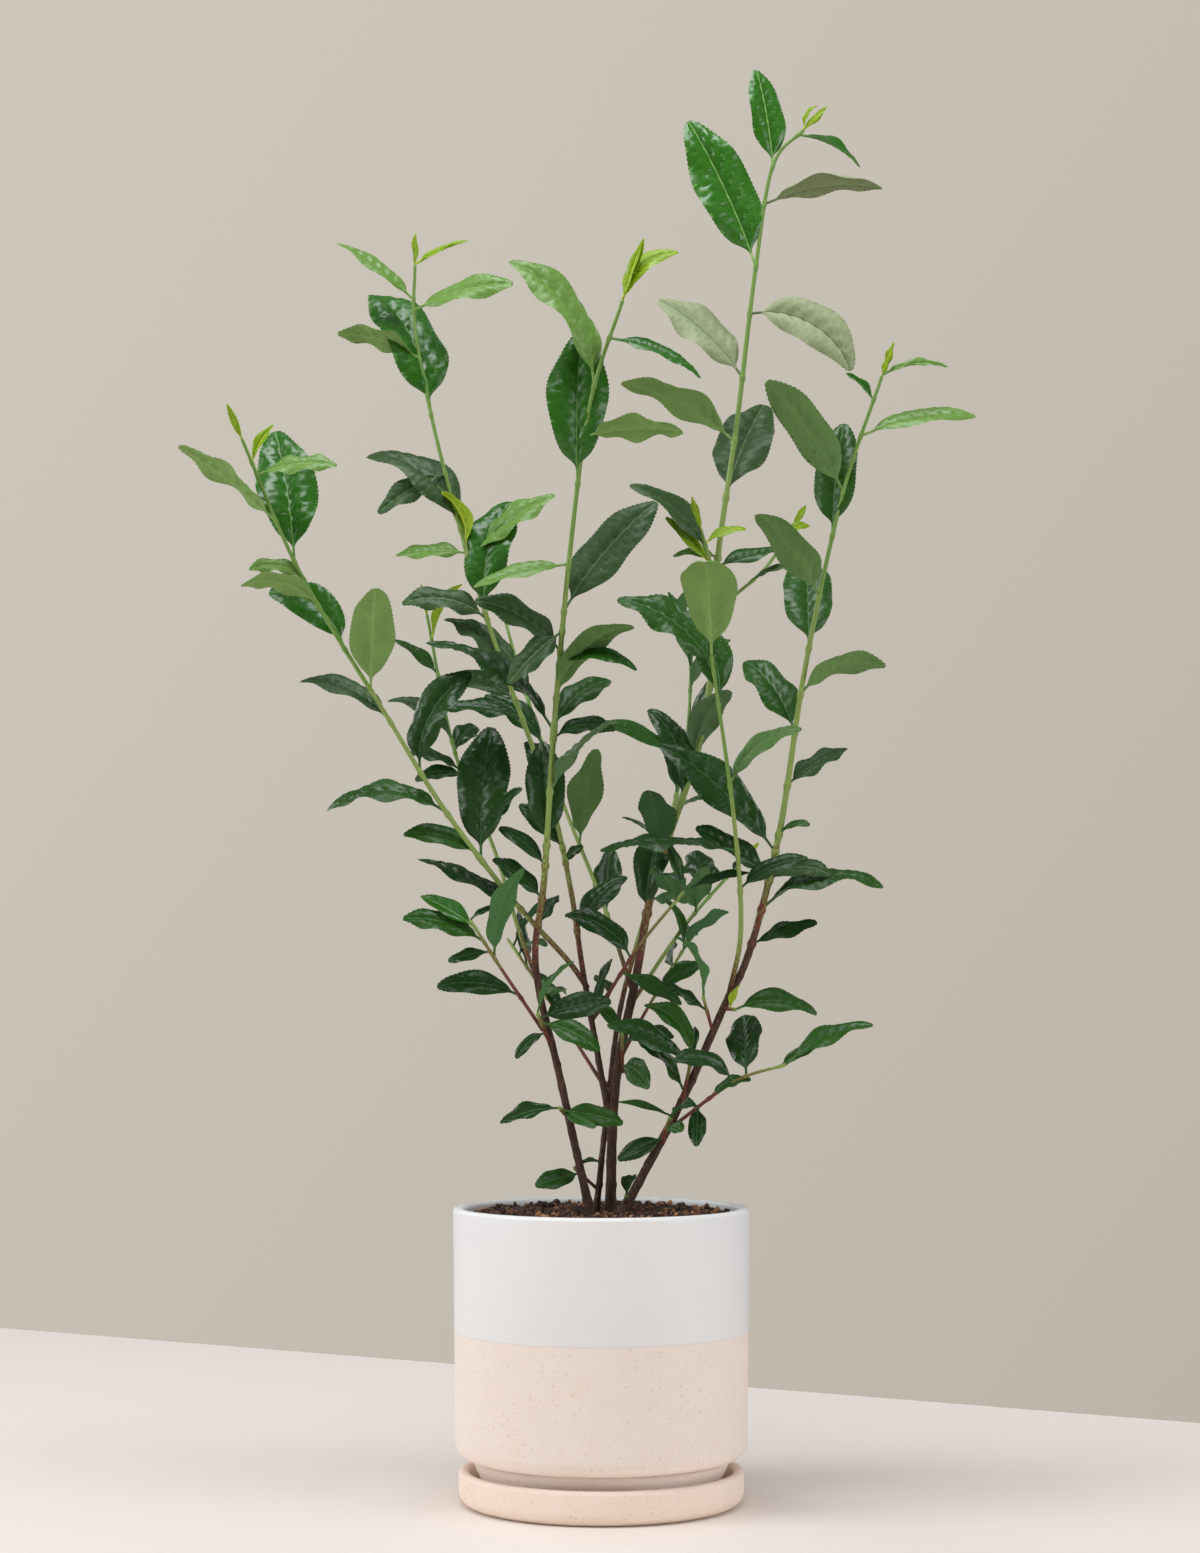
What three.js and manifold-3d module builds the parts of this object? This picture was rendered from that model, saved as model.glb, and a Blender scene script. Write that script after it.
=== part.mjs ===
// Potted tea bush (Camellia sinensis): four thin stems from one root, in a two-tone
// stoneware pot that stands in its saucer.
// Millimetres, +Z up, origin at the centre of the saucer's flat underside.

import * as THREE from 'three';
import { mergeVertices } from 'three/addons/utils/BufferGeometryUtils.js';
import Module from 'manifold-3d';

// ---- Driving dimensions -------------------------------------------------------------

const GAP = 0.3;                    // clearance between neighbouring pieces
const TURN_STEPS = 36;              // sides of every turned piece

const SAUCER = { radius: 80, height: 19, wall: 6, floor: 5, corner: 7.5, fillet: 4, rim: 2.5 };

const POT = {
  radius: 83.5,                     // at the rim
  height: 164,                      // rim above the table
  wall: 6,
  draft: 1.5,                       // how much narrower the body is at its lower corner
  corner: 9,                        // lower corner radius
  undersideZ: 25.5,
  footRadius: 64,
  footTopRadius: 71.6,
  footTopZ: 22.5,
  floor: 9,
  footRise: 3,                      // how far the inside's corners stand off the outside's
  cornerIn: 3,
  cornerUp: 6,
  rim: 1.5,
};

const GLAZE = { lineZ: 95.5, thickness: 0.8, insideZ: 145 };

const SOIL = {
  edgeZ: 158.5,
  rings: [[68, 160.6], [54, 161.6], [38, 161]],   // radius and height
  flatRadius: 22,                   // the stems stand here
  flatZ: 159.7,
  ripple: 1,
  waves: { x: 0.19, y: 0.23, across: 0.31, phase: 1.3 },
};

const STEM_SIDES = 6;
const TWIG_SIDES = 4;
const CURVE_STEPS = 6;              // straight steps between two points of a stem's curve
const RING_EVERY = 3;               // a solid's ring stands on every third of those steps
const ROOT_FLARE = 0.3;             // extra radius at the soil, as a share
const FLARE_HEIGHT = 9;
const LIMB_GAP = 0.4;               // clearance between a shoot and any limb that it passes

// Leaf rule: a leaf stands where its stem's note says, varied a little by the stem's seed.
// A flush has no notes: its leaves wind up the stem by a fixed angle, varied more.
const NOTE_VARY = { turn: 8, rise: 6, length: 0.05, roll: 12 };
const LIGHT_ROLL = 40;              // how far a leaf at the side turns its top to the light
const DIVERGENCE = 144;             // degrees from one leaf of a flush to the next
const FLUSH_VARY = { place: 0.4, turn: 50, rise: 35, length: 0.35, roll: 45 };
const ARCH = { least: 10, spread: 70 };   // degrees that a leaf bends down over its length
const LEAF_WIDTH = 0.36;            // width as a share of length
const OUTLINE = { skew: 0.9, fullness: 0.85 };   // how a blade swells along its length
const YOUNG = { place: 0.88, length: 45, width: 0.28 };
const LEAF_FOLD = 0.22;             // how far the edges stand above the midrib
const YOUNG_FOLD = 0.6;
const LEAF_STATIONS = [0, 0.3, 0.65, 1];
const PETIOLE = { share: 0.09, radius: 0.8 };
const LEAF_THICKNESS = { least: 1, share: 0.015 };
const BUD_SINK = 2;                 // how far a bud's root is sunk in its stem
const BUD_ROLL = 60;

// A leaf keeps this far from another shoot's leaves and from every other stem's axis: a
// fixed part, and a share of the lengths of the leaves.
const LEAF_CLEAR = { least: 1, share: 0.04 };
const STEM_CLEAR = { least: 3.2, share: 0.04 };
const SEARCH = 10;                  // farther from a leaf's reach than this nothing is tested
const RETRY = { tries: 7, turn: 40 };
const PROBE = { from: 0.15, along: 9, across: 5 };

// ---- Stems --------------------------------------------------------------------------
//
// points   a few points of the stem's curve, from its foot or fork to its tip
// wood     how many steps of those points are bare woody limb; the rest is leafy shoot
// radii    at the foot, where the wood ends, and at the tip
// bud      length of the closed bud at the tip
// leaves   one note a leaf: its place as a share of the shoot's length; its turn about the
//          upright (0 right, 90 back, 180 left, 270 front) and its rise, in degrees; its
//          length; and how far its top (or, below 0, its underside) is turned to the front
// flushes  seeded leaves: the stretch of the shoot they stand on, their count, the first
//          one's turn, their mean rise and length

const STEMS = [
  {
    limb: 'stem_left',
    shoot: 'shoot_centre',
    points: [
      [-6, -6, 160], [-24, -11, 240], [-37, -15, 300], [-32, -20, 350],
      [-26, -30, 440], [-17, -42, 536], [-6, -53, 614], [12, -60, 670],
    ],
    wood: 2,
    radii: { foot: 2.3, fork: 1.9, tip: 1.0 },
    rooted: true,
    bud: 38,
    seed: 4,
    leaves: [
      [0.06, 98, 36, 28], [0.1, 175, 38, 35], [0.15, 180, 33, 36], [0.18, 100, 79, 64],
      [0.26, 310, 32, 60], [0.34, 0, 2, 38], [0.35, 180, 38, 92, 0.6], [0.36, 42, 34, 54],
      [0.4, 345, 37, 67, -0.7], [0.45, 352, -6, 46], [0.5, 200, -42, 46, 1.2],
      [0.47, 182, 27, 60], [0.53, 26, 52, 84], [0.6, 180, -12, 58], [0.72, 78, 78, 98],
      [0.79, 345, 2, 60, -0.6], [0.865, 178, 62, 88, 0.8], [0.94, 345, -22, 58],
      [1, 10, 37, 45],
    ],
  },
  {
    limb: 'bough_left',
    shoot: 'shoot_back_left',
    points: [
      [4, 6, 216], [-10, 10, 294], [-18, 12, 346], [-31, 14, 401],
      [-65, 18, 497], [-94, 30, 598], [-110, 40, 674], [-111, 44, 717],
    ],
    wood: 1,
    radii: { foot: 1.8, fork: 1.6, tip: 0.9 },
    bud: 22,
    seed: 5,
    leaves: [
      [0.06, 20, 47, 48], [0.15, 30, 40, 17], [0.17, 174, 42, 36], [0.35, 180, 9, 48],
      [0.375, 155, 23, 52, 1.2], [0.42, 152, 43, 50], [0.49, 185, 12, 54], [0.5, 52, 68, 80],
      [0.585, 180, 0, 42], [0.595, 200, 69, 37, -1], [0.58, 8, 31, 66], [0.62, 165, 39, 78],
      [0.7, 188, -28, 46, 1.3], [0.785, 125, 56, 104], [0.865, 190, 15, 54, -0.8],
      [0.935, 350, 15, 66], [0.95, 175, 36, 56], [1, 5, 26, 34],
    ],
  },
  {
    limb: 'stem_main',
    shoot: 'shoot_tallest',
    points: [
      [5, 3, 160], [8, 7, 231], [20, 12, 294], [31, 18, 350],
      [60, 27, 442], [68, 34, 536], [80, 40, 619], [92, 46, 715],
      [103, 50, 779], [122, 52, 802],
    ],
    wood: 2,
    radii: { foot: 2.9, fork: 2.4, tip: 1.0 },
    rooted: true,
    bud: 22,
    seed: 1,
    leaves: [
      [0.07, 50, 72, 54], [0.14, 262, 30, 58], [0.2, 160, 66, 62], [0.25, 320, 58, 50, -1],
      [0.47, 20, 20, 44], [0.48, 180, 5, 28], [0.55, 72, 52, 90], [0.615, 200, 29, 76, -0.7],
      [0.69, 150, 42, 76, 1.2], [0.765, 342, -34, 76, 2.2], [0.82, 170, 65, 99, 1.4],
      [0.895, 352, 3, 70, -0.3], [0.94, 150, 76, 60], [0.99, 0, -22, 42, 0.6], [1, 20, 55, 20],
    ],
  },
  {
    limb: 'stem_right',
    shoot: 'shoot_right',
    points: [
      [11, -8, 160], [44, -9, 221], [68, -10, 274], [84, -12, 309],
      [101, -17, 377], [115, -24, 467], [136, -30, 564], [159, -34, 633],
    ],
    wood: 3,
    radii: { foot: 2.5, fork: 2.0, tip: 0.9 },
    rooted: true,
    bud: 22,
    seed: 6,
    leaves: [
      [0.01, 10, 15, 38], [0.07, 0, 12, 72, 0.6], [0.12, 350, 4, 40], [0.13, 180, 34, 50],
      [0.145, 30, 5, 24], [0.17, 182, 44, 86, 0.8], [0.2, 330, 15, 22], [0.285, 20, 30, 44],
      [0.375, 120, 50, 66, 1.2], [0.44, 355, 14, 56, -0.4], [0.52, 82, 46, 80],
      [0.61, 225, 39, 70, -0.8], [0.715, 70, 69, 70], [0.79, 190, 56, 76, -0.8],
      [0.89, 0, 10, 71, 0.6], [0.955, 180, 47, 22], [1, 5, 13, 38, 0.7],
    ],
  },
  {
    limb: 'stem_rear',
    shoot: 'shoot_rear',
    points: [[-3, 9, 160], [4, 14, 223], [12, 32, 280], [33, 64, 356], [51, 94, 432], [56, 120, 501]],
    wood: 2,
    radii: { foot: 1.7, fork: 1.5, tip: 0.9 },
    rooted: true,
    bud: 22,
    flushes: [
      { from: 0.25, to: 0.55, leaves: 3, turn: 90, rise: 30, length: 44, seed: 11 },
      { from: 0.5, to: 0.8, leaves: 3, turn: 100, rise: 35, length: 50, seed: 23 },
      { from: 0.8, to: 1, leaves: 3, turn: 60, rise: 50, length: 42, seed: 37 },
    ],
  },
  {
    shoot: 'shoot_right_front',
    points: [[72, -10, 283], [78, -30, 321], [73, -50, 384], [60, -76, 469]],
    wood: 0,
    radii: { foot: 1.5, fork: 1.5, tip: 0.9 },
    seed: 7,
    leaves: [
      [0.33, 0, 27, 42], [0.44, 180, 3, 78, 0.5], [0.63, 355, 40, 52], [0.86, 155, 61, 68],
      [0.95, 180, 38, 70], [0.99, 262, 32, 85],
    ],
  },
  {
    shoot: 'shoot_far_left',
    points: [
      [-9, 10, 289], [-20, 2, 304], [-50, -16, 337], [-88, -30, 387],
      [-120, -44, 439], [-166, -60, 515], [-198, -76, 589],
    ],
    wood: 0,
    radii: { foot: 1.6, fork: 1.6, tip: 0.9 },
    bud: 22,
    seed: 8,
    leaves: [
      [0.17, 180, 23, 64, 0.6], [0.265, 85, 78, 80], [0.275, 185, 9, 46],
      [0.355, 180, 2, 70, 0.6], [0.43, 10, 61, 64], [0.52, 180, 19, 58, 0.7],
      [0.575, 273, 48, 66], [0.65, 158, 32, 62, 1.2], [0.725, 195, 12, 48, -0.8],
      [0.77, 180, 13, 32], [0.8, 108, 60, 88], [0.865, 188, 37, 70, -0.5], [0.94, 0, 4, 46],
      [0.96, 10, 61, 26],
    ],
  },
  {
    shoot: 'shoot_left_rear',
    points: [[-36, -14, 291], [-48, 6, 323], [-62, 30, 367], [-87, 54, 428], [-105, 76, 512]],
    wood: 0,
    radii: { foot: 1.3, fork: 1.3, tip: 0.9 },
    bud: 22,
    seed: 9,
    leaves: [
      [0.42, 10, 55, 34], [0.57, 180, 2, 31], [0.59, 190, 14, 33], [0.64, 66, 30, 36],
      [0.67, 180, 27, 49], [0.84, 180, 43, 33], [0.93, 10, 61, 39, -0.8],
    ],
  },
  {
    shoot: 'shoot_inner_left',
    points: [[18, 12, 285], [2, 40, 334], [-23, 70, 398], [-45, 98, 464], [-63, 124, 527]],
    wood: 0,
    radii: { foot: 1.3, fork: 1.3, tip: 0.9 },
    seed: 10,
    leaves: [
      [0.2, 81, 51, 50], [0.37, 286, 58, 60], [0.49, 140, 50, 48], [0.62, 165, 40, 48],
      [0.74, 130, 52, 46], [0.82, 160, 48, 44],
    ],
  },
  {
    shoot: 'twig_left',
    points: [[-34, -12, 265], [-56, -25, 298], [-73, -36, 325]],
    wood: 0,
    radii: { foot: 1.1, fork: 1.1, tip: 0.8 },
    seed: 11,
    leaves: [
      [0.3, 185, 11, 50], [0.65, 98, 66, 56], [0.71, 175, -9, 24], [0.8, 175, 15, 48, 1.3],
      [0.93, 160, 30, 40, 1.3], [1, 46, 8, 28],
    ],
  },
  {
    shoot: 'twig_right',
    points: [[38, -9, 208], [74, -26, 235], [103, -34, 245]],
    wood: 0,
    radii: { foot: 1.1, fork: 1.1, tip: 0.8 },
    seed: 12,
    leaves: [
      [0.28, 264, -47, 28], [0.4, 340, 20, 26], [0.6, 165, 12, 42, 1.3], [0.7, 123, 34, 60],
      [0.95, 20, 25, 23], [1, 352, 20, 52, 1.1],
    ],
  },
  {
    shoot: 'twig_inner_front',
    points: [[-5, 9, 269], [20, -4, 309], [47, -16, 342]],
    wood: 0,
    radii: { foot: 1.1, fork: 1.1, tip: 0.8 },
    seed: 13,
    leaves: [
      [0.08, 20, 69, 30], [0.2, 54, 15, 34], [0.46, 176, 30, 46, 1.2], [0.35, 0, -30, 38, 1.3],
      [0.92, 266, 11, 57], [1, 5, 20, 42, 1.3], [1, 120, 50, 38],
    ],
  },
  {
    shoot: 'twig_inner_rear',
    points: [[4, 15, 233], [24, 27, 271], [48, 38, 310]],
    wood: 0,
    radii: { foot: 1.1, fork: 1.1, tip: 0.8 },
    seed: 14,
    leaves: [
      [0.35, 340, -29, 26], [0.68, 10, 30, 32, 1.3], [0.85, 170, 20, 36, 1.3],
      [0.93, 40, 60, 40], [0.97, 155, 30, 42, 1.3], [1, 100, 62, 38],
    ],
  },
  {
    shoot: 'twig_right_far',
    points: [[69, -11, 276], [76, -18, 275]],
    wood: 0,
    radii: { foot: 1.0, fork: 1.0, tip: 0.8 },
    seed: 15,
    leaves: [
      [0.5, 60, 50, 17], [0.9, 358, -2, 50, 1.2],
    ],
  },
  {
    shoot: 'spur_left_low',
    points: [[-18, -9, 214], [-24, -20, 221]],
    wood: 0,
    radii: { foot: 1.0, fork: 1.0, tip: 0.8 },
    seed: 16,
    leaves: [
      [0.5, 320, -15, 28], [0.7, 0, -9, 35, 1.3], [0.9, 180, -20, 35, 1.3],
    ],
  },
  {
    shoot: 'spur_left',
    points: [[-29, -12, 256], [-36, -26, 274]],
    wood: 0,
    radii: { foot: 1.1, fork: 1.1, tip: 0.9 },
    seed: 17,
    leaves: [
      [0.35, 195, -45, 24], [0.65, 340, -20, 40, 1.3], [0.8, 20, 10, 42, 1.3],
      [0.95, 80, 50, 38],
    ],
  },
  {
    shoot: 'spur_foot_left',
    points: [[-3, 10, 174], [-16, 6, 186]],
    wood: 0,
    radii: { foot: 1.0, fork: 1.0, tip: 0.8 },
    seed: 18,
    leaves: [
      [0.7, 215, -8, 32, 1.8], [0.95, 20, 20, 16],
    ],
  },
  {
    shoot: 'spur_main',
    points: [[12, 7, 241], [12, -6, 262]],
    wood: 0,
    radii: { foot: 1.0, fork: 1.0, tip: 0.8 },
    seed: 19,
    leaves: [
      [0.1, 338, -20, 40, 1.2], [0.6, 100, 60, 36], [0.7, 340, 10, 34, 1.3],
      [0.9, 210, 40, 30, 1.3],
    ],
  },
  {
    shoot: 'spur_right_low',
    points: [[33, -8, 198], [39, -20, 216]],
    wood: 0,
    radii: { foot: 1.1, fork: 1.1, tip: 0.9 },
    seed: 20,
    leaves: [
      [0.3, 200, -20, 30, 1.3], [0.6, 330, -5, 24, 1.3], [0.9, 299, 10, 30],
      [1, 195, 20, 30, 1.3],
    ],
  },
  {
    shoot: 'spur_right',
    points: [[45, -9, 222], [51, -24, 250]],
    wood: 0,
    radii: { foot: 1.1, fork: 1.1, tip: 0.9 },
    seed: 21,
    leaves: [
      [0.25, 203, 42, 42, 1.2], [0.45, 327, 16, 38, 1.3], [0.8, 205, 20, 60, 1.3],
      [0.95, 160, 50, 44], [1, 0, 34, 30],
    ],
  },
  {
    shoot: 'spur_right_high',
    points: [[63, -10, 262], [57, -20, 283]],
    wood: 0,
    radii: { foot: 1.0, fork: 1.0, tip: 0.8 },
    seed: 22,
    leaves: [
      [0.6, 190, 35, 32], [0.95, 226, 55, 44],
    ],
  },
  {
    shoot: 'spur_foot_right',
    points: [[13, -8, 165], [14, -16, 172]],
    wood: 0,
    radii: { foot: 1.0, fork: 1.0, tip: 0.8 },
    seed: 23,
    leaves: [
      [0.9, 275, 25, 28],
    ],
  },
  {
    shoot: 'shoot_tallest',
    points: [[66, 34, 530], [58, 22, 555]],
    wood: 0,
    radii: { foot: 1.0, fork: 1.0, tip: 0.8 },
    bud: 22,
    seed: 2,
    leaves: [
      [0.2, 185, 40, 38], [0.45, 190, 35, 60], [0.65, 10, 20, 28],
    ],
  },
  {
    shoot: 'shoot_tallest',
    points: [[66, 31, 507], [97, 58, 536], [117, 86, 568]],
    wood: 0,
    radii: { foot: 1.1, fork: 1.1, tip: 0.8 },
    bud: 22,
    seed: 3,
    leaves: [
      [0.4, 340, 15, 24], [0.8, 30, 30, 24],
    ],
  },
  {
    shoot: 'shoot_rear_right',
    points: [[17, 12, 278], [49, 48, 324], [84, 84, 363]],
    wood: 0,
    radii: { foot: 1.3, fork: 1.3, tip: 0.9 },
    bud: 22,
    flushes: [
      { from: 0.35, to: 0.7, leaves: 2, turn: 60, rise: 25, length: 40, seed: 5 },
      { from: 0.7, to: 1, leaves: 3, turn: 90, rise: 30, length: 42, seed: 19 },
    ],
  },
  {
    shoot: 'twig_left_rear',
    points: [[0, 8, 234], [-29, 42, 278], [-56, 74, 317]],
    wood: 0,
    radii: { foot: 1.1, fork: 1.1, tip: 0.8 },
    flushes: [
      { from: 0.35, to: 0.7, leaves: 2, turn: 150, rise: 25, length: 36, seed: 7 },
      { from: 0.7, to: 1, leaves: 3, turn: 120, rise: 30, length: 40, seed: 29 },
    ],
  },
];

// ---- Solids: joining and cutting ----------------------------------------------------

const wasm = await Module();
wasm.setup();

function toSolid(geometry) {
  const bare = geometry.clone();
  bare.deleteAttribute('normal');
  bare.deleteAttribute('uv');
  const merged = mergeVertices(bare, 1e-4);
  return new wasm.Manifold(new wasm.Mesh({
    numProp: 3,
    vertProperties: new Float32Array(merged.attributes.position.array),
    triVerts: new Uint32Array(merged.index.array),
  }));
}

function toGeometry(solid) {
  const mesh = solid.getMesh();
  const geometry = new THREE.BufferGeometry();
  geometry.setAttribute('position', new THREE.BufferAttribute(mesh.vertProperties, 3));
  geometry.setIndex(new THREE.BufferAttribute(mesh.triVerts, 1));
  return geometry;
}

// Cutting can leave a loose scrap beyond the cut: the piece is the largest one.
function largestPiece(solid) {
  const pieces = solid.decompose();
  return pieces.reduce((best, piece) => (piece.volume() > best.volume() ? piece : best));
}

function cutClear(solid, neighbours) {
  return largestPiece(neighbours.reduce((rest, neighbour) => rest.subtract(neighbour), solid));
}

// ---- Materials ----------------------------------------------------------------------

const finish = (color, roughness) =>
  new THREE.MeshStandardMaterial({ color, roughness, metalness: 0 });

const MATERIALS = {
  clay: () => finish(0xead8cb, 0.85),
  glaze: () => finish(0xefefee, 0.45),
  soil: () => finish(0x33241b, 0.95),
  bark: () => finish(0x4c3530, 0.85),
  leaf: () => finish(0x2c5a2b, 0.45),
};

const bush = new THREE.Group();

function addPiece(name, geometry, material) {
  const piece = new THREE.Mesh(geometry, MATERIALS[material]());
  piece.name = name;
  bush.add(piece);
}

// ---- Pottery ------------------------------------------------------------------------

// Points of an arc in a turned profile; angles in degrees, 0 outwards and 90 up.
function arc(centreR, centreZ, radius, from, to, steps) {
  const points = [];
  for (let i = 0; i <= steps; i += 1) {
    const angle = THREE.MathUtils.degToRad(from + ((to - from) * i) / steps);
    points.push([centreR + radius * Math.cos(angle), centreZ + radius * Math.sin(angle)]);
  }
  return points;
}

function turned(profile) {
  const points = profile.map(([r, z]) => new THREE.Vector2(r, z));
  return new THREE.LatheGeometry(points, TURN_STEPS).rotateX(Math.PI / 2);
}

function saucerGeometry() {
  const { radius, height, wall, floor, corner, fillet, rim } = SAUCER;
  return turned([
    [0, 0],
    ...arc(radius - corner, corner, corner, -90, 0, 4),
    ...arc(radius - rim, height - rim, rim, 0, 90, 2),
    ...arc(radius - wall + rim, height - rim, rim, 90, 180, 2),
    ...arc(radius - wall - fillet, floor + fillet, fillet, 0, -90, 2),
    [0, floor],
  ]);
}

const POT_BASE_Z = SAUCER.floor + GAP;
const CORNER_R = POT.radius - POT.draft - POT.corner;
const CORNER_Z = POT.undersideZ + POT.corner;
const INNER_R = POT.radius - POT.wall;
const REBATE = GLAZE.thickness + GAP;

function potRadiusAt(z) {
  return POT.radius - (POT.draft * (POT.height - z)) / (POT.height - CORNER_Z);
}

// The inside of the pot from its floor up, moved inwards by `inset`.
function insideProfile(inset) {
  return [
    [0, POT_BASE_Z + POT.floor + inset],
    [POT.footRadius - POT.wall - inset, POT_BASE_Z + POT.floor + inset],
    [POT.footTopRadius - POT.wall - inset, POT.footTopZ + POT.footRise + inset],
    [INNER_R - POT.cornerIn - inset, CORNER_Z + inset],
    [INNER_R - inset, CORNER_Z + POT.cornerUp + inset],
  ];
}

function potGeometry() {
  const { height, rim } = POT;
  const top = height - REBATE;
  return turned([
    [0, POT_BASE_Z],
    [POT.footRadius, POT_BASE_Z],
    [POT.footTopRadius, POT.footTopZ],
    ...arc(CORNER_R, CORNER_Z, POT.corner, -90, 0, 4),
    [potRadiusAt(GLAZE.lineZ - GAP), GLAZE.lineZ - GAP],
    [potRadiusAt(GLAZE.lineZ - GAP) - REBATE, GLAZE.lineZ - GAP],
    ...arc(POT.radius - REBATE - rim, top - rim, rim, 0, 90, 2),
    ...arc(INNER_R + REBATE + rim / 2, top - rim / 2, rim / 2, 90, 180, 1),
    [INNER_R + REBATE, GLAZE.insideZ - GAP],
    [INNER_R, GLAZE.insideZ - GAP],
    ...insideProfile(0).reverse(),
  ]);
}

// The white glaze: a thin coat over the upper wall, the rim and the inside down to the soil.
function glazeGeometry() {
  const { height, rim } = POT;
  const { lineZ, thickness, insideZ } = GLAZE;
  const outer = rim + REBATE;
  const start = [potRadiusAt(lineZ), lineZ];
  return turned([
    start,
    ...arc(POT.radius - outer, height - outer, outer, 0, 90, 3),
    ...arc(INNER_R + outer / 2, height - outer / 2, outer / 2, 90, 180, 2),
    [INNER_R, insideZ],
    [INNER_R + thickness, insideZ],
    ...arc(INNER_R + REBATE + rim / 2, height - REBATE - rim / 2, rim / 2 + GAP, 180, 90, 1),
    ...arc(POT.radius - REBATE - rim, height - REBATE - rim, rim + GAP, 90, 0, 2),
    [potRadiusAt(lineZ) - thickness, lineZ],
    start,
  ]);
}

function soilGeometry() {
  const { edgeZ, rings, flatZ, flatRadius, ripple, waves } = SOIL;
  const geometry = turned([
    ...insideProfile(GAP),
    [INNER_R - GAP, edgeZ],
    ...rings,
    [flatRadius, flatZ],
    [0, flatZ],
  ]);
  const position = geometry.attributes.position;
  for (let i = 0; i < position.count; i += 1) {
    const x = position.getX(i);
    const y = position.getY(i);
    const r = Math.hypot(x, y);
    if (position.getZ(i) > edgeZ && r > flatRadius + GAP) {
      const wave = Math.sin(waves.x * x + waves.phase) * Math.cos(waves.y * y)
        + Math.sin(waves.across * (x - y));
      position.setZ(i, position.getZ(i) + (ripple * wave) / 2);
    }
  }
  return geometry;
}

// ---- Curves of stems ----------------------------------------------------------------

const add = (a, b, share = 1) => a.map((value, k) => value + b[k] * share);
const minus = (a, b) => a.map((value, k) => value - b[k]);
const dot = (a, b) => a[0] * b[0] + a[1] * b[1] + a[2] * b[2];
const cross = (a, b) => [
  a[1] * b[2] - a[2] * b[1],
  a[2] * b[0] - a[0] * b[2],
  a[0] * b[1] - a[1] * b[0],
];
const unit = (a) => a.map((value) => value / Math.sqrt(dot(a, a)));
const radians = (degrees) => (degrees * Math.PI) / 180;

// A smooth curve through the points (Catmull-Rom), as a run of short straight steps.
function smoothPath(points) {
  const last = points.length - 1;
  const before = add(points[0], minus(points[0], points[1]));
  const after = add(points[last], minus(points[last], points[last - 1]));
  const all = [before, ...points, after];
  const path = [];
  for (let i = 0; i < last; i += 1) {
    const [a, b, c, d] = all.slice(i, i + 4);
    for (let j = 0; j < CURVE_STEPS; j += 1) {
      const t = j / CURVE_STEPS;
      path.push(a.map((_, k) => 0.5 * (
        2 * b[k]
        + (c[k] - a[k]) * t
        + (2 * a[k] - 5 * b[k] + 4 * c[k] - d[k]) * t * t
        + (3 * b[k] - a[k] - 3 * c[k] + d[k]) * t * t * t
      )));
    }
  }
  path.push(points[last]);
  return path;
}

// The point at a share of a path's length.
function pointAt(path, share) {
  const steps = path.slice(1).map((point, i) => Math.sqrt(
    dot(minus(point, path[i]), minus(point, path[i])),
  ));
  let left = share * steps.reduce((sum, step) => sum + step, 0);
  let i = 0;
  while (i < steps.length - 1 && left > steps[i]) {
    left -= steps[i];
    i += 1;
  }
  return add(path[i], minus(path[i + 1], path[i]), left / steps[i]);
}

// A round tapering limb along a path: a closed cylinder bent onto it ring by ring.
function limbGeometry(path, radiusAt, sides, rooted) {
  const rings = path.filter((_, i) => i % RING_EVERY === 0 || i === path.length - 1);
  const last = rings.length - 1;
  const geometry = new THREE.CylinderGeometry(1, 1, 1, sides, last);
  const frames = rings.map((point, i) => {
    const ahead = rings[Math.min(i + 1, last)];
    const behind = rings[Math.max(i - 1, 0)];
    const along = rooted && i === 0 ? [0, 0, 1] : unit(minus(ahead, behind));
    const side = unit(cross(along, [0, 1, 0]));
    return { point, side, other: cross(side, along), radius: radiusAt(i / last, point) };
  });
  const position = geometry.attributes.position;
  for (let i = 0; i < position.count; i += 1) {
    const frame = frames[Math.round((position.getY(i) + 0.5) * last)];
    const across = add([0, 0, 0], frame.side, position.getX(i) * frame.radius);
    const place = add(add(frame.point, across), frame.other, position.getZ(i) * frame.radius);
    position.setXYZ(i, ...place);
  }
  return geometry;
}

// ---- Leaf rule ----------------------------------------------------------------------

// A small seeded generator, so that every run draws the same numbers from 0 to 1.
function draws(seed) {
  const modulus = 2147483647;
  let state = (seed * 48271) % modulus;
  return () => {
    state = (state * 16807) % modulus;
    return state / modulus;
  };
}

const varied = (draw, amount) => amount * (2 * draw() - 1);

// Where a noted leaf stands, how it points, and its size.
function notedLeaf(path, [place, turn, rise, length, face = 1], draw) {
  return {
    root: pointAt(path, place),
    turn: turn + varied(draw, NOTE_VARY.turn),
    rise: rise + varied(draw, NOTE_VARY.rise),
    length: length * (1 + varied(draw, NOTE_VARY.length)),
    arch: ARCH.least + ARCH.spread * draw(),
    roll: face * LIGHT_ROLL * Math.cos(radians(turn)) + varied(draw, NOTE_VARY.roll),
    young: place > YOUNG.place && length < YOUNG.length,
  };
}

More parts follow.
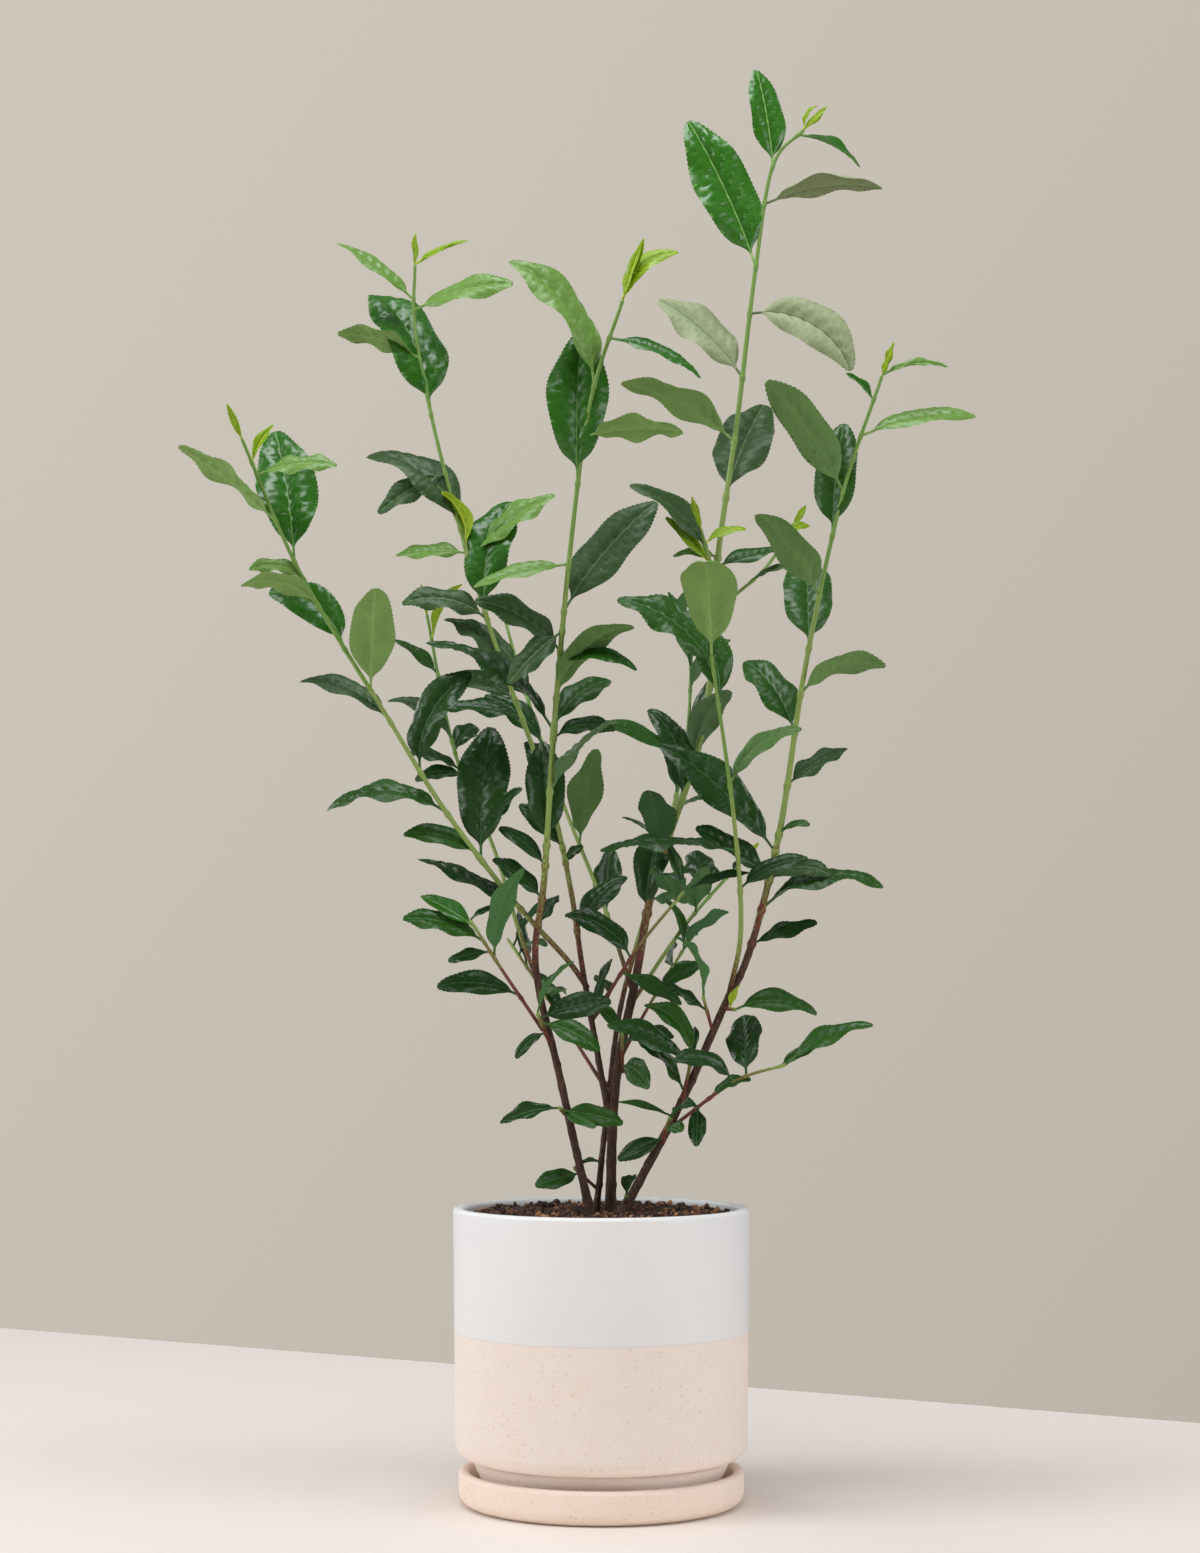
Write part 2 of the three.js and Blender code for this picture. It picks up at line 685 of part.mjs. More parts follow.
// The same for one leaf of a seeded flush.
function flushLeaf(path, flush, index, draw) {
  const step = (index + 0.5 + varied(draw, FLUSH_VARY.place)) / flush.leaves;
  const place = flush.from + (flush.to - flush.from) * step;
  return {
    root: pointAt(path, place),
    turn: flush.turn + index * DIVERGENCE + varied(draw, FLUSH_VARY.turn),
    rise: flush.rise + varied(draw, FLUSH_VARY.rise),
    length: flush.length * (1 + varied(draw, FLUSH_VARY.length)),
    arch: ARCH.least + ARCH.spread * draw(),
    roll: varied(draw, FLUSH_VARY.roll),
    young: place > YOUNG.place && flush.length < YOUNG.length,
  };
}

function leavesOf({ stem, path }) {
  if (stem.leaves) {
    const draw = draws(stem.seed);
    return stem.leaves.map((note) => notedLeaf(path, note, draw));
  }
  return stem.flushes.flatMap((flush) => {
    const draw = draws(flush.seed);
    return Array.from({ length: flush.leaves }, (_, i) => flushLeaf(path, flush, i, draw));
  });
}

// The midrib's points at shares of its length, and the blade's two directions at each.
function midrib(pose, shares) {
  const turn = radians(pose.turn);
  const arch = radians(pose.arch);
  const rise = radians(pose.rise);
  const roll = radians(pose.roll);
  const level = [Math.sin(turn), -Math.cos(turn), 0];
  const heading = (share) => {
    const angle = rise + arch * (0.5 - share);
    return [
      Math.cos(angle) * Math.cos(turn),
      Math.cos(angle) * Math.sin(turn),
      Math.sin(angle),
    ];
  };
  let point = pose.root;
  let reached = 0;
  return shares.map((share) => {
    const middle = heading((share + reached) / 2);
    point = add(point, middle, (share - reached) * pose.length);
    reached = share;
    const along = heading(share);
    const up = cross(level, along);
    const side = add(level.map((v) => v * Math.cos(roll)), up, -Math.sin(roll));
    return { share, point, along, side, up: cross(side, along) };
  });
}

// Half the blade's width at a share of its length: a narrow stalk, then a pointed ellipse.
function halfWidth(pose, share) {
  const blade = Math.max(0, (share - PETIOLE.share) / (1 - PETIOLE.share));
  const widest = pose.length * (pose.young ? YOUNG.width : LEAF_WIDTH) / 2;
  return widest * Math.sin(Math.PI * blade ** OUTLINE.skew) ** OUTLINE.fullness;
}

// Numbers evenly spaced from one value to another.
function spaced(from, to, count) {
  return Array.from({ length: count }, (_, i) => from + ((to - from) * i) / (count - 1));
}

// Points spread over a blade, to test what it would touch.
function probes(pose) {
  const shares = spaced(PROBE.from, 1, PROBE.along);
  const offsets = spaced(-1, 1, PROBE.across);
  return midrib(pose, shares).flatMap(({ share, point, side }) => {
    const half = share < 1 ? halfWidth(pose, share) : 0;
    return offsets.map((offset) => add(point, side, offset * half));
  });
}

// A leaf: a closed four-sided cone bent along its midrib, thin, and folded along the middle.
function leafGeometry(pose) {
  const last = LEAF_STATIONS.length - 1;
  const geometry = new THREE.ConeGeometry(1, 1, 4, last);
  const stations = midrib(pose, LEAF_STATIONS);
  const thickness = Math.max(LEAF_THICKNESS.least, LEAF_THICKNESS.share * pose.length);
  const fold = pose.young ? YOUNG_FOLD : LEAF_FOLD;
  const position = geometry.attributes.position;
  for (let i = 0; i < position.count; i += 1) {
    const row = Math.round((position.getY(i) + 0.5) * last);
    const { share, point, side, up } = stations[row];
    const ring = 1 - row / last;
    const x = ring > 0 ? position.getX(i) / ring : 0;
    const z = ring > 0 ? position.getZ(i) / ring : 0;
    const blade = ring > 0 ? halfWidth(pose, share) : 0;
    const half = Math.max(blade, PETIOLE.radius);
    const depth = share < PETIOLE.share ? PETIOLE.radius : thickness / 2;
    const lift = Math.abs(x) * blade * fold;
    position.setXYZ(i, ...add(add(point, side, x * half), up, z * depth + lift));
  }
  return geometry;
}

function segmentDistance(point, start, end) {
  const along = minus(end, start);
  const share = dot(minus(point, start), along) / dot(along, along);
  const nearest = add(start, along, Math.min(1, Math.max(0, share)));
  const gap = minus(point, nearest);
  return Math.sqrt(dot(gap, gap));
}

const leaves = [];

function near(a, b, distance) {
  const gap = minus(a, b);
  return dot(gap, gap) < distance * distance;
}

function touchesLeaf(pose, points, shoot) {
  return leaves.some((other) => {
    if (other.shoot === shoot) return false;
    const lengths = pose.length + other.pose.length;
    if (!near(pose.root, other.pose.root, lengths + SEARCH)) return false;
    const clear = LEAF_CLEAR.least + LEAF_CLEAR.share * lengths;
    return points.some((a) => other.points.some((b) => near(a, b, clear)));
  });
}

function touchesStem(pose, points, shoot) {
  const clear = STEM_CLEAR.least + STEM_CLEAR.share * pose.length;
  return curves.some(({ shoot: owner, path }) => owner !== shoot && path.slice(1).some((end, i) => {
    if (segmentDistance(pose.root, path[i], end) > pose.length + SEARCH) return false;
    return points.some((point) => segmentDistance(point, path[i], end) < clear);
  }));
}

// A leaf that would touch another shoot or limb is turned about its stem, then left out.
function placeLeaf(pose, shoot) {
  for (let i = 0; i < RETRY.tries; i += 1) {
    const side = i % 2 === 0 ? 1 : -1;
    const turned = { ...pose, turn: pose.turn + side * RETRY.turn * Math.ceil(i / 2) };
    const points = probes(turned);
    if (!touchesLeaf(turned, points, shoot) && !touchesStem(turned, points, shoot)) {
      leaves.push({ shoot, pose: turned, points });
      return;
    }
  }
}

// ---- The plant ----------------------------------------------------------------------

// Every stem's curve is cut in two: the bare woody limb, then the leafy shoot.
const curves = [];
for (const stem of STEMS) {
  const path = smoothPath(stem.points);
  const fork = stem.wood * CURVE_STEPS;
  if (stem.wood > 0) {
    curves.push({ stem, shoot: stem.limb, path: path.slice(0, fork + 1), woody: true });
  }
  curves.push({ stem, shoot: stem.shoot, path: path.slice(fork), woody: false });
}

for (const curve of curves.filter(({ woody }) => !woody)) {
  for (const pose of leavesOf(curve)) placeLeaf(pose, curve.shoot);
}

const blend = (a, b, share) => a + (b - a) * share;

function limbRadius(stem, woody, extra) {
  return (share, point) => {
    if (!woody) return blend(stem.radii.fork, stem.radii.tip, share) + extra;
    const height = point[2] - stem.points[0][2];
    const flare = stem.rooted ? ROOT_FLARE * Math.exp(-height / FLARE_HEIGHT) : 0;
    return blend(stem.radii.foot, stem.radii.fork, share) * (1 + flare) + extra;
  };
}

function limbSolid({ stem, path, woody }, extra) {
  const sides = woody ? STEM_SIDES : TWIG_SIDES;
  return toSolid(limbGeometry(path, limbRadius(stem, woody, extra), sides, woody && stem.rooted));
}

// The shoot's first ring stands clear of the limb's end.
function trimStart(path) {
  const start = add(path[0], unit(minus(path[1], path[0])), GAP);
  return [start, ...path.slice(1)];
}

const limbs = curves.filter((curve) => curve.woody);
const envelopes = limbs.map((limb) => limbSolid(limb, LIMB_GAP));

for (const [index, limb] of limbs.entries()) {
  const earlier = limb.stem.rooted ? [] : envelopes.filter((_, i) => i !== index);
  addPiece(limb.shoot, toGeometry(cutClear(limbSolid(limb, 0), earlier)), 'bark');
}

const shootNames = [...new Set(curves.filter((curve) => !curve.woody).map((curve) => curve.shoot))];
for (const name of shootNames) {
  const own = curves.filter((curve) => !curve.woody && curve.shoot === name);
  const twigs = own.map((curve) => limbSolid(
    { ...curve, path: curve.stem.wood > 0 ? trimStart(curve.path) : curve.path }, 0,
  ));
  const ownLeaves = leaves.filter((leaf) => leaf.shoot === name);
  const blades = ownLeaves.map((leaf) => toSolid(leafGeometry(leaf.pose)));
  const buds = own.filter((curve) => curve.stem.bud).map((curve) => toSolid(budGeometry(curve)));
  const joined = wasm.Manifold.union([...twigs, ...blades, ...buds]);
  addPiece(name, toGeometry(cutClear(joined, envelopes)), 'leaf');
}

// The closed bud at a shoot's tip: a slim folded leaf in line with the shoot.
function budGeometry({ stem, path }) {
  const tip = path[path.length - 1];
  const heading = unit(minus(tip, path[path.length - 2]));
  const level = Math.hypot(heading[0], heading[1]);
  const pose = {
    root: add(tip, heading, -BUD_SINK),
    turn: (Math.atan2(heading[1], heading[0]) * 180) / Math.PI,
    rise: (Math.atan2(heading[2], level) * 180) / Math.PI,
    length: stem.bud,
    arch: 0,
    roll: BUD_ROLL,
    young: true,
  };
  return leafGeometry(pose);
}

addPiece('saucer', saucerGeometry(), 'clay');
addPiece('pot', potGeometry(), 'clay');
addPiece('pot_glaze', glazeGeometry(), 'glaze');
addPiece('soil', soilGeometry(), 'soil');

export default bush;
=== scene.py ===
"""Potted tea bush: builds the finished pieces of a young tea bush in its two-tone pot."""

import math
from functools import cache
from itertools import cycle
from typing import NamedTuple

import bmesh
import bpy
import numpy as np
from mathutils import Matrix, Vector, noise


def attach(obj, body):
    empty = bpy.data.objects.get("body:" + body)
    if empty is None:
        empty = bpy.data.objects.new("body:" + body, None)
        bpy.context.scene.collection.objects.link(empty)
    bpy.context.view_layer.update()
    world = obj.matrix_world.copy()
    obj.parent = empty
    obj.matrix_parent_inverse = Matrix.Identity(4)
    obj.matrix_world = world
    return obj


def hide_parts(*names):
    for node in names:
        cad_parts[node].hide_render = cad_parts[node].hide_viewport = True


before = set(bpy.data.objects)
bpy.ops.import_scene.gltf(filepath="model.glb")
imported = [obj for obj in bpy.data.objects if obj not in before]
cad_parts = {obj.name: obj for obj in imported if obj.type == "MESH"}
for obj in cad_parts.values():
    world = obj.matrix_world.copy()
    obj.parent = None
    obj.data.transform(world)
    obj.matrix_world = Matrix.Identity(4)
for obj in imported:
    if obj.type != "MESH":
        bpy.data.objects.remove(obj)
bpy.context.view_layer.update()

bl_info = {
    "name": "Potted tea bush",
    "version": (1, 0, 0),
    "blender": (4, 5, 0),
    "location": "3D View > Sidebar > Tea bush",
    "description": "A young tea bush in a two-tone stoneware pot with its saucer",
    "category": "Add Mesh",
}

MM = 0.001                          # the growth rule counts in millimetres
BODY = "root"


# ---- Growth rule: the stems, and how leaves stand on them ----------------------------

CURVE_STEPS = 6                     # straight steps between two points of a stem's curve
FINE_STEPS = 24                     # the same for the finished stems

# A leaf stands where its stem's note says, varied a little by the stem's seed. A flush
# has no notes: its leaves wind up the stem by a fixed angle, varied more.
NOTE_VARY = {"turn": 8, "rise": 6, "length": 0.05, "roll": 12}
LIGHT_ROLL = 40                     # how far a leaf at the side turns its top to the light
DIVERGENCE = 144                    # degrees from one leaf of a flush to the next
FLUSH_VARY = {"place": 0.4, "turn": 50, "rise": 35, "length": 0.35, "roll": 45}
ARCH = {"least": 10, "spread": 70}  # degrees that a leaf bends down over its length
LEAF_WIDTH = 0.36                   # width as a share of length
OUTLINE = {"skew": 0.9, "fullness": 0.85}
YOUNG = {"place": 0.88, "length": 45, "width": 0.28}
PETIOLE_SHARE = 0.09                # the stalk's share of a leaf's length
BUD = {"sink": 2, "roll": 60, "tone": "y", "slim": 0.62}

# A leaf that would come nearer than this is turned about its stem, and at last left out.
LEAF_CLEAR = {"least": 1, "share": 0.04}
STEM_CLEAR = {"least": 3.2, "share": 0.04}
SEARCH = 10                         # leaves whose feet lie further apart aren't compared
RETRY = {"tries": 7, "turn": 40}
PROBE = {"from": 0.15, "along": 9, "across": 5}


class Flush(NamedTuple):
    """Seeded leaves on a stretch of a shoot."""
    start: float                    # the stretch, as shares of the shoot's length
    end: float
    leaves: int
    turn: float                     # the first leaf's
    rise: float                     # their mean rise and length
    length: float
    seed: int


class Stem(NamedTuple):
    """A stem from its foot or fork to its tip: a bare woody limb, then a leafy shoot."""
    shoot: str                      # the leafy part's node
    radii: tuple                    # the leafy part's, at its foot and at its tip
    points: list                    # a few points of the curve
    tones: str                      # one letter a leaf, in order, for its colour and gloss
    leaves: list = ()               # one note a leaf, as below
    flushes: list = ()
    seed: int = 0
    bud: float = 0                  # length of the closed bud at the tip
    limb: str = ""                  # the woody part's node, where there is one
    wood: int = 0                   # how many steps of the points are woody
    foot: float = 0                 # the woody part's radius at its foot
    rooted: bool = False


# A leaf's note is its place as a share of the shoot's length; its turn about the upright
# (0 right, 90 back, 180 left, 270 front) and its rise, in degrees; its length; and how far
# its top (or, below 0, its underside) is turned to the front.
STEMS = [
    Stem(
        "shoot_centre", radii=(1.9, 1.0), seed=4, bud=38,
        limb="stem_left", wood=2, foot=2.3, rooted=True,
        points=[
            (-6, -6, 160), (-24, -11, 240), (-37, -15, 300), (-32, -20, 350), (-26, -30, 440),
            (-17, -42, 536), (-6, -53, 614), (12, -60, 670)],
        tones="ddddgddkomggglmllmy",
        leaves=[
            (0.06, 98, 36, 28), (0.1, 175, 38, 35), (0.15, 180, 33, 36), (0.18, 100, 79, 64),
            (0.26, 310, 32, 60), (0.34, 0, 2, 38), (0.35, 180, 38, 92, 0.6), (0.36, 42, 34, 54),
            (0.4, 345, 37, 67, -0.7), (0.45, 352, -6, 46), (0.5, 200, -42, 46, 1.2),
            (0.47, 182, 27, 60), (0.53, 26, 52, 84), (0.6, 180, -12, 58), (0.72, 78, 78, 98),
            (0.79, 345, 2, 60, -0.6), (0.865, 178, 62, 88, 0.8), (0.94, 345, -22, 58),
            (1, 10, 37, 45)],
    ),
    Stem(
        "shoot_back_left", radii=(1.6, 0.9), seed=5, bud=22,
        limb="bough_left", wood=1, foot=1.8,
        points=[
            (4, 6, 216), (-10, 10, 294), (-18, 12, 346), (-31, 14, 401), (-65, 18, 497),
            (-94, 30, 598), (-110, 40, 674), (-111, 44, 717)],
        tones="ddddgggmlylggmllly",
        leaves=[
            (0.06, 20, 47, 48), (0.15, 30, 40, 17), (0.17, 174, 42, 36), (0.35, 180, 9, 48),
            (0.375, 155, 23, 52, 1.2), (0.42, 152, 43, 50), (0.49, 185, 12, 54),
            (0.5, 52, 68, 80), (0.585, 180, 0, 42), (0.595, 200, 69, 37, -1), (0.58, 8, 31, 66),
            (0.62, 165, 39, 78), (0.7, 188, -28, 46, 1.3), (0.785, 125, 56, 104),
            (0.865, 190, 15, 54, -0.8), (0.935, 350, 15, 66), (0.95, 175, 36, 56),
            (1, 5, 26, 34)],
    ),
    Stem(
        "shoot_tallest", radii=(2.4, 1.0), seed=1, bud=22,
        limb="stem_main", wood=2, foot=2.9, rooted=True,
        points=[
            (5, 3, 160), (8, 7, 231), (20, 12, 294), (31, 18, 350), (60, 27, 442),
            (68, 34, 536), (80, 40, 619), (92, 46, 715), (103, 50, 779), (122, 52, 802)],
        tones="dddgkoglppbpbmy",
        leaves=[
            (0.07, 50, 72, 54), (0.14, 262, 30, 58), (0.2, 160, 66, 62),
            (0.25, 320, 58, 50, -1), (0.47, 20, 20, 44), (0.48, 180, 5, 28), (0.55, 72, 52, 90),
            (0.615, 200, 29, 76, -0.7), (0.69, 150, 42, 76, 1.2), (0.765, 342, -34, 76, 2.2),
            (0.82, 170, 65, 99, 1.4), (0.895, 352, 3, 70, -0.3), (0.94, 150, 76, 60),
            (0.99, 0, -22, 42, 0.6), (1, 20, 55, 20)],
    ),
    Stem(
        "shoot_right", radii=(2.0, 0.9), seed=6, bud=22,
        limb="stem_right", wood=3, foot=2.5, rooted=True,
        points=[
            (11, -8, 160), (44, -9, 221), (68, -10, 274), (84, -12, 309), (101, -17, 377),
            (115, -24, 467), (136, -30, 564), (159, -34, 633)],
        tones="dkgdddkgkokokolml",
        leaves=[
            (0.01, 10, 15, 38), (0.07, 0, 12, 72, 0.6), (0.12, 350, 4, 40), (0.13, 180, 34, 50),
            (0.145, 30, 5, 24), (0.17, 182, 44, 86, 0.8), (0.2, 330, 15, 22),
            (0.285, 20, 30, 44), (0.375, 120, 50, 66, 1.2), (0.44, 355, 14, 56, -0.4),
            (0.52, 82, 46, 80), (0.61, 225, 39, 70, -0.8), (0.715, 70, 69, 70),
            (0.79, 190, 56, 76, -0.8), (0.89, 0, 10, 71, 0.6), (0.955, 180, 47, 22),
            (1, 5, 13, 38, 0.7)],
    ),
    Stem(
        "shoot_rear", radii=(1.5, 0.9), seed=27, bud=22,
        limb="stem_rear", wood=2, foot=1.7, rooted=True,
        points=[
            (-3, 9, 160), (4, 14, 223), (12, 32, 280), (33, 64, 356), (51, 94, 432),
            (56, 120, 501)],
        tones="kdgk", flushes=[
            Flush(0.25, 0.55, 3, 90, 30, 44, 11), Flush(0.5, 0.8, 3, 100, 35, 50, 23),
            Flush(0.8, 1, 3, 60, 50, 42, 37)],
    ),
    Stem(
        "shoot_right_front", radii=(1.5, 0.9), seed=7,
        points=[(72, -10, 283), (78, -30, 321), (73, -50, 384), (60, -76, 469)],
        tones="ddokkl", leaves=[
            (0.33, 0, 27, 42), (0.44, 180, 3, 78, 0.5), (0.63, 355, 40, 52),
            (0.86, 155, 61, 68), (0.95, 180, 38, 70), (0.99, 262, 32, 85)],
    ),
    Stem(
        "shoot_far_left", radii=(1.6, 0.9), seed=8, bud=22,
        points=[
            (-9, 10, 289), (-20, 2, 304), (-50, -16, 337), (-88, -30, 387), (-120, -44, 439),
            (-166, -60, 515), (-198, -76, 589)],
        tones="ddkkdglmllmlly",
        leaves=[
            (0.17, 180, 23, 64, 0.6), (0.265, 85, 78, 80), (0.275, 185, 9, 46),
            (0.355, 180, 2, 70, 0.6), (0.43, 10, 61, 64), (0.52, 180, 19, 58, 0.7),
            (0.575, 273, 48, 66), (0.65, 158, 32, 62, 1.2), (0.725, 195, 12, 48, -0.8),
            (0.77, 180, 13, 32), (0.8, 108, 60, 88), (0.865, 188, 37, 70, -0.5),
            (0.94, 0, 4, 46), (0.96, 10, 61, 26)],
    ),
    Stem(
        "shoot_left_rear", radii=(1.3, 0.9), seed=9, bud=22,
        points=[
            (-36, -14, 291), (-48, 6, 323), (-62, 30, 367), (-87, 54, 428), (-105, 76, 512)],
        tones="ddddgky", leaves=[
            (0.42, 10, 55, 34), (0.57, 180, 2, 31), (0.59, 190, 14, 33), (0.64, 66, 30, 36),
            (0.67, 180, 27, 49), (0.84, 180, 43, 33), (0.93, 10, 61, 39, -0.8)],
    ),
    Stem(
        "shoot_inner_left", radii=(1.3, 0.9), seed=10,
        points=[(18, 12, 285), (2, 40, 334), (-23, 70, 398), (-45, 98, 464), (-63, 124, 527)],
        tones="dodddg", leaves=[
            (0.2, 81, 51, 50), (0.37, 286, 58, 60), (0.49, 140, 50, 48), (0.62, 165, 40, 48),
            (0.74, 130, 52, 46), (0.82, 160, 48, 44)],
    ),
    Stem(
        "twig_left", radii=(1.1, 0.8), seed=11,
        points=[(-34, -12, 265), (-56, -25, 298), (-73, -36, 325)],
        tones="dkdkmd", leaves=[
            (0.3, 185, 11, 50), (0.65, 98, 66, 56), (0.71, 175, -9, 24),
            (0.8, 175, 15, 48, 1.3), (0.93, 160, 30, 40, 1.3), (1, 46, 8, 28)],
    ),
    Stem(
        "twig_right", radii=(1.1, 0.8), seed=12,
        points=[(38, -9, 208), (74, -26, 235), (103, -34, 245)],
        tones="dkddkk", leaves=[
            (0.28, 264, -47, 28), (0.4, 340, 20, 26), (0.6, 165, 12, 42, 1.3),
            (0.7, 123, 34, 60), (0.95, 20, 25, 23), (1, 352, 20, 52, 1.1)],
    ),
    Stem(
        "twig_inner_front", radii=(1.1, 0.8), seed=13,
        points=[(-5, 9, 269), (20, -4, 309), (47, -16, 342)],
        tones="dkdkddk", leaves=[
            (0.08, 20, 69, 30), (0.2, 54, 15, 34), (0.46, 176, 30, 46, 1.2),
            (0.35, 0, -30, 38, 1.3), (0.92, 266, 11, 57), (1, 5, 20, 42, 1.3),
            (1, 120, 50, 38)],
    ),
    Stem(
        "twig_inner_rear", radii=(1.1, 0.8), seed=14,
        points=[(4, 15, 233), (24, 27, 271), (48, 38, 310)],
        tones="dkdkdk", leaves=[
            (0.35, 340, -29, 26), (0.68, 10, 30, 32, 1.3), (0.85, 170, 20, 36, 1.3),
            (0.93, 40, 60, 40), (0.97, 155, 30, 42, 1.3), (1, 100, 62, 38)],
    ),
    Stem(
        "twig_right_far", radii=(1.0, 0.8), seed=15, points=[(69, -11, 276), (76, -18, 275)],
        tones="yk", leaves=[(0.5, 60, 50, 17), (0.9, 358, -2, 50, 1.2)],
    ),
    Stem(
        "spur_left_low", radii=(1.0, 0.8), seed=16, points=[(-18, -9, 214), (-24, -20, 221)],
        tones="kkd", leaves=[
            (0.5, 320, -15, 28), (0.7, 0, -9, 35, 1.3), (0.9, 180, -20, 35, 1.3)],
    ),
    Stem(
        "spur_left", radii=(1.1, 0.9), seed=17, points=[(-29, -12, 256), (-36, -26, 274)],
        tones="dkdk", leaves=[
            (0.35, 195, -45, 24), (0.65, 340, -20, 40, 1.3), (0.8, 20, 10, 42, 1.3),
            (0.95, 80, 50, 38)],
    ),
    Stem(
        "spur_foot_left", radii=(1.0, 0.8), seed=18, points=[(-3, 10, 174), (-16, 6, 186)],
        tones="kd", leaves=[(0.7, 215, -8, 32, 1.8), (0.95, 20, 20, 16)],
    ),
    Stem(
        "spur_main", radii=(1.0, 0.8), seed=19, points=[(12, 7, 241), (12, -6, 262)],
        tones="kddk", leaves=[
            (0.1, 338, -20, 40, 1.2), (0.6, 100, 60, 36), (0.7, 340, 10, 34, 1.3),
            (0.9, 210, 40, 30, 1.3)],
    ),
    Stem(
        "spur_right_low", radii=(1.1, 0.9), seed=20, points=[(33, -8, 198), (39, -20, 216)],
        tones="dkdk", leaves=[
            (0.3, 200, -20, 30, 1.3), (0.6, 330, -5, 24, 1.3), (0.9, 299, 10, 30),
            (1, 195, 20, 30, 1.3)],
    ),
    Stem(
        "spur_right", radii=(1.1, 0.9), seed=21, points=[(45, -9, 222), (51, -24, 250)],
        tones="kddkd", leaves=[
            (0.25, 203, 42, 42, 1.2), (0.45, 327, 16, 38, 1.3), (0.8, 205, 20, 60, 1.3),
            (0.95, 160, 50, 44), (1, 0, 34, 30)],
    ),
    Stem(
        "spur_right_high", radii=(1.0, 0.8), seed=22, points=[(63, -10, 262), (57, -20, 283)],
        tones="dk", leaves=[(0.6, 190, 35, 32), (0.95, 226, 55, 44)],
    ),
    Stem(
        "spur_foot_right", radii=(1.0, 0.8), seed=23, points=[(13, -8, 165), (14, -16, 172)],
        tones="d", leaves=[(0.9, 275, 25, 28)],
    ),
    Stem(
        "shoot_tallest", radii=(1.0, 0.8), seed=2, bud=22,
        points=[(66, 34, 530), (58, 22, 555)],
        tones="ygy", leaves=[(0.2, 185, 40, 38), (0.45, 190, 35, 60), (0.65, 10, 20, 28)],
    ),
    Stem(
        "shoot_tallest", radii=(1.1, 0.8), seed=3, bud=22,
        points=[(66, 31, 507), (97, 58, 536), (117, 86, 568)],
        tones="oy", leaves=[(0.4, 340, 15, 24), (0.8, 30, 30, 24)],
    ),
    Stem(
        "shoot_rear_right", radii=(1.3, 0.9), bud=22,
        points=[(17, 12, 278), (49, 48, 324), (84, 84, 363)],
        tones="dk", flushes=[
            Flush(0.35, 0.7, 2, 60, 25, 40, 5), Flush(0.7, 1, 3, 90, 30, 42, 19)],
    ),
    Stem(
        "twig_left_rear", radii=(1.1, 0.8),
        points=[(0, 8, 234), (-29, 42, 278), (-56, 74, 317)],
        tones="dk", flushes=[
            Flush(0.35, 0.7, 2, 150, 25, 36, 7), Flush(0.7, 1, 3, 120, 30, 40, 29)],
    ),
]


class Curve(NamedTuple):
    """A woody limb or a leafy shoot, as short straight steps."""
    stem: Stem
    node: str
    woody: bool
    path: np.ndarray
    fine: np.ndarray                # the same curve in finer steps


class Leaf(NamedTuple):
    """A leaf that found its place."""
    curve: Curve
    pose: dict
    points: np.ndarray              # spread over the blade, to test what comes near it


def smooth_path(points, steps):
    """A smooth curve through the points (Catmull-Rom), as short straight steps."""
    given = np.array(points, float)
    whole = np.vstack([2 * given[0] - given[1], given, 2 * given[-1] - given[-2]])
    path = []
    for a, b, c, d in zip(whole, whole[1:], whole[2:], whole[3:]):
        for t in np.arange(steps) / steps:
            path.append(0.5 * (
                2 * b
                + (c - a) * t
                + (2 * a - 5 * b + 4 * c - d) * t * t
                + (3 * b - a - 3 * c + d) * t ** 3
            ))
    return np.array([*path, given[-1]])


def distances(path):
    """How far along the path each of its points is."""
    return np.concatenate([[0], np.cumsum(np.linalg.norm(np.diff(path, axis=0), axis=1))])


def points_at(path, reached):
    """The points that lie so far along a path."""
    along = distances(path)
    return np.stack([np.interp(reached, along, path[:, k]) for k in range(3)], axis=-1)


def unit(vector):
    """The vector's direction, with length 1."""
    return vector / np.linalg.norm(vector)


def draws(seed):
    """A small seeded generator, so that every run draws the same numbers from 0 to 1."""
    modulus = 2147483647
    state = seed * 48271 % modulus
    while True:
        state = state * 16807 % modulus
        yield state / modulus


def varied(draw, amount):
    """A seeded number within the amount on either side of 0."""
    return amount * (2 * next(draw) - 1)


def leaf_pose(path, place, angles, length, vary, light_roll, draw):
    """Where a leaf stands, how it points and its size, varied by so much."""
    turn, rise = angles
    return {
        "root": points_at(path, place * distances(path)[-1]),
        "place": place,
        "turn": turn + varied(draw, vary["turn"]),
        "rise": rise + varied(draw, vary["rise"]),
        "length": length * (1 + varied(draw, vary["length"])),
        "arch": ARCH["least"] + ARCH["spread"] * next(draw),
        "roll": light_roll + varied(draw, vary["roll"]),
        "young": place > YOUNG["place"] and length < YOUNG["length"],
    }


def noted_leaf(path, note, draw):
    """The pose of a noted leaf."""
    place, turn, rise, length, *rest = note
    face = rest[0] if rest else 1
    light_roll = face * LIGHT_ROLL * math.cos(math.radians(turn))
    return leaf_pose(path, place, (turn, rise), length, NOTE_VARY, light_roll, draw)


def flush_leaf(path, flush, index, draw):
    """The pose of one leaf of a seeded flush."""
    step = (index + 0.5 + varied(draw, FLUSH_VARY["place"])) / flush.leaves
    place = flush.start + (flush.end - flush.start) * step
    angles = (flush.turn + index * DIVERGENCE, flush.rise)
    return leaf_pose(path, place, angles, flush.length, FLUSH_VARY, 0, draw)


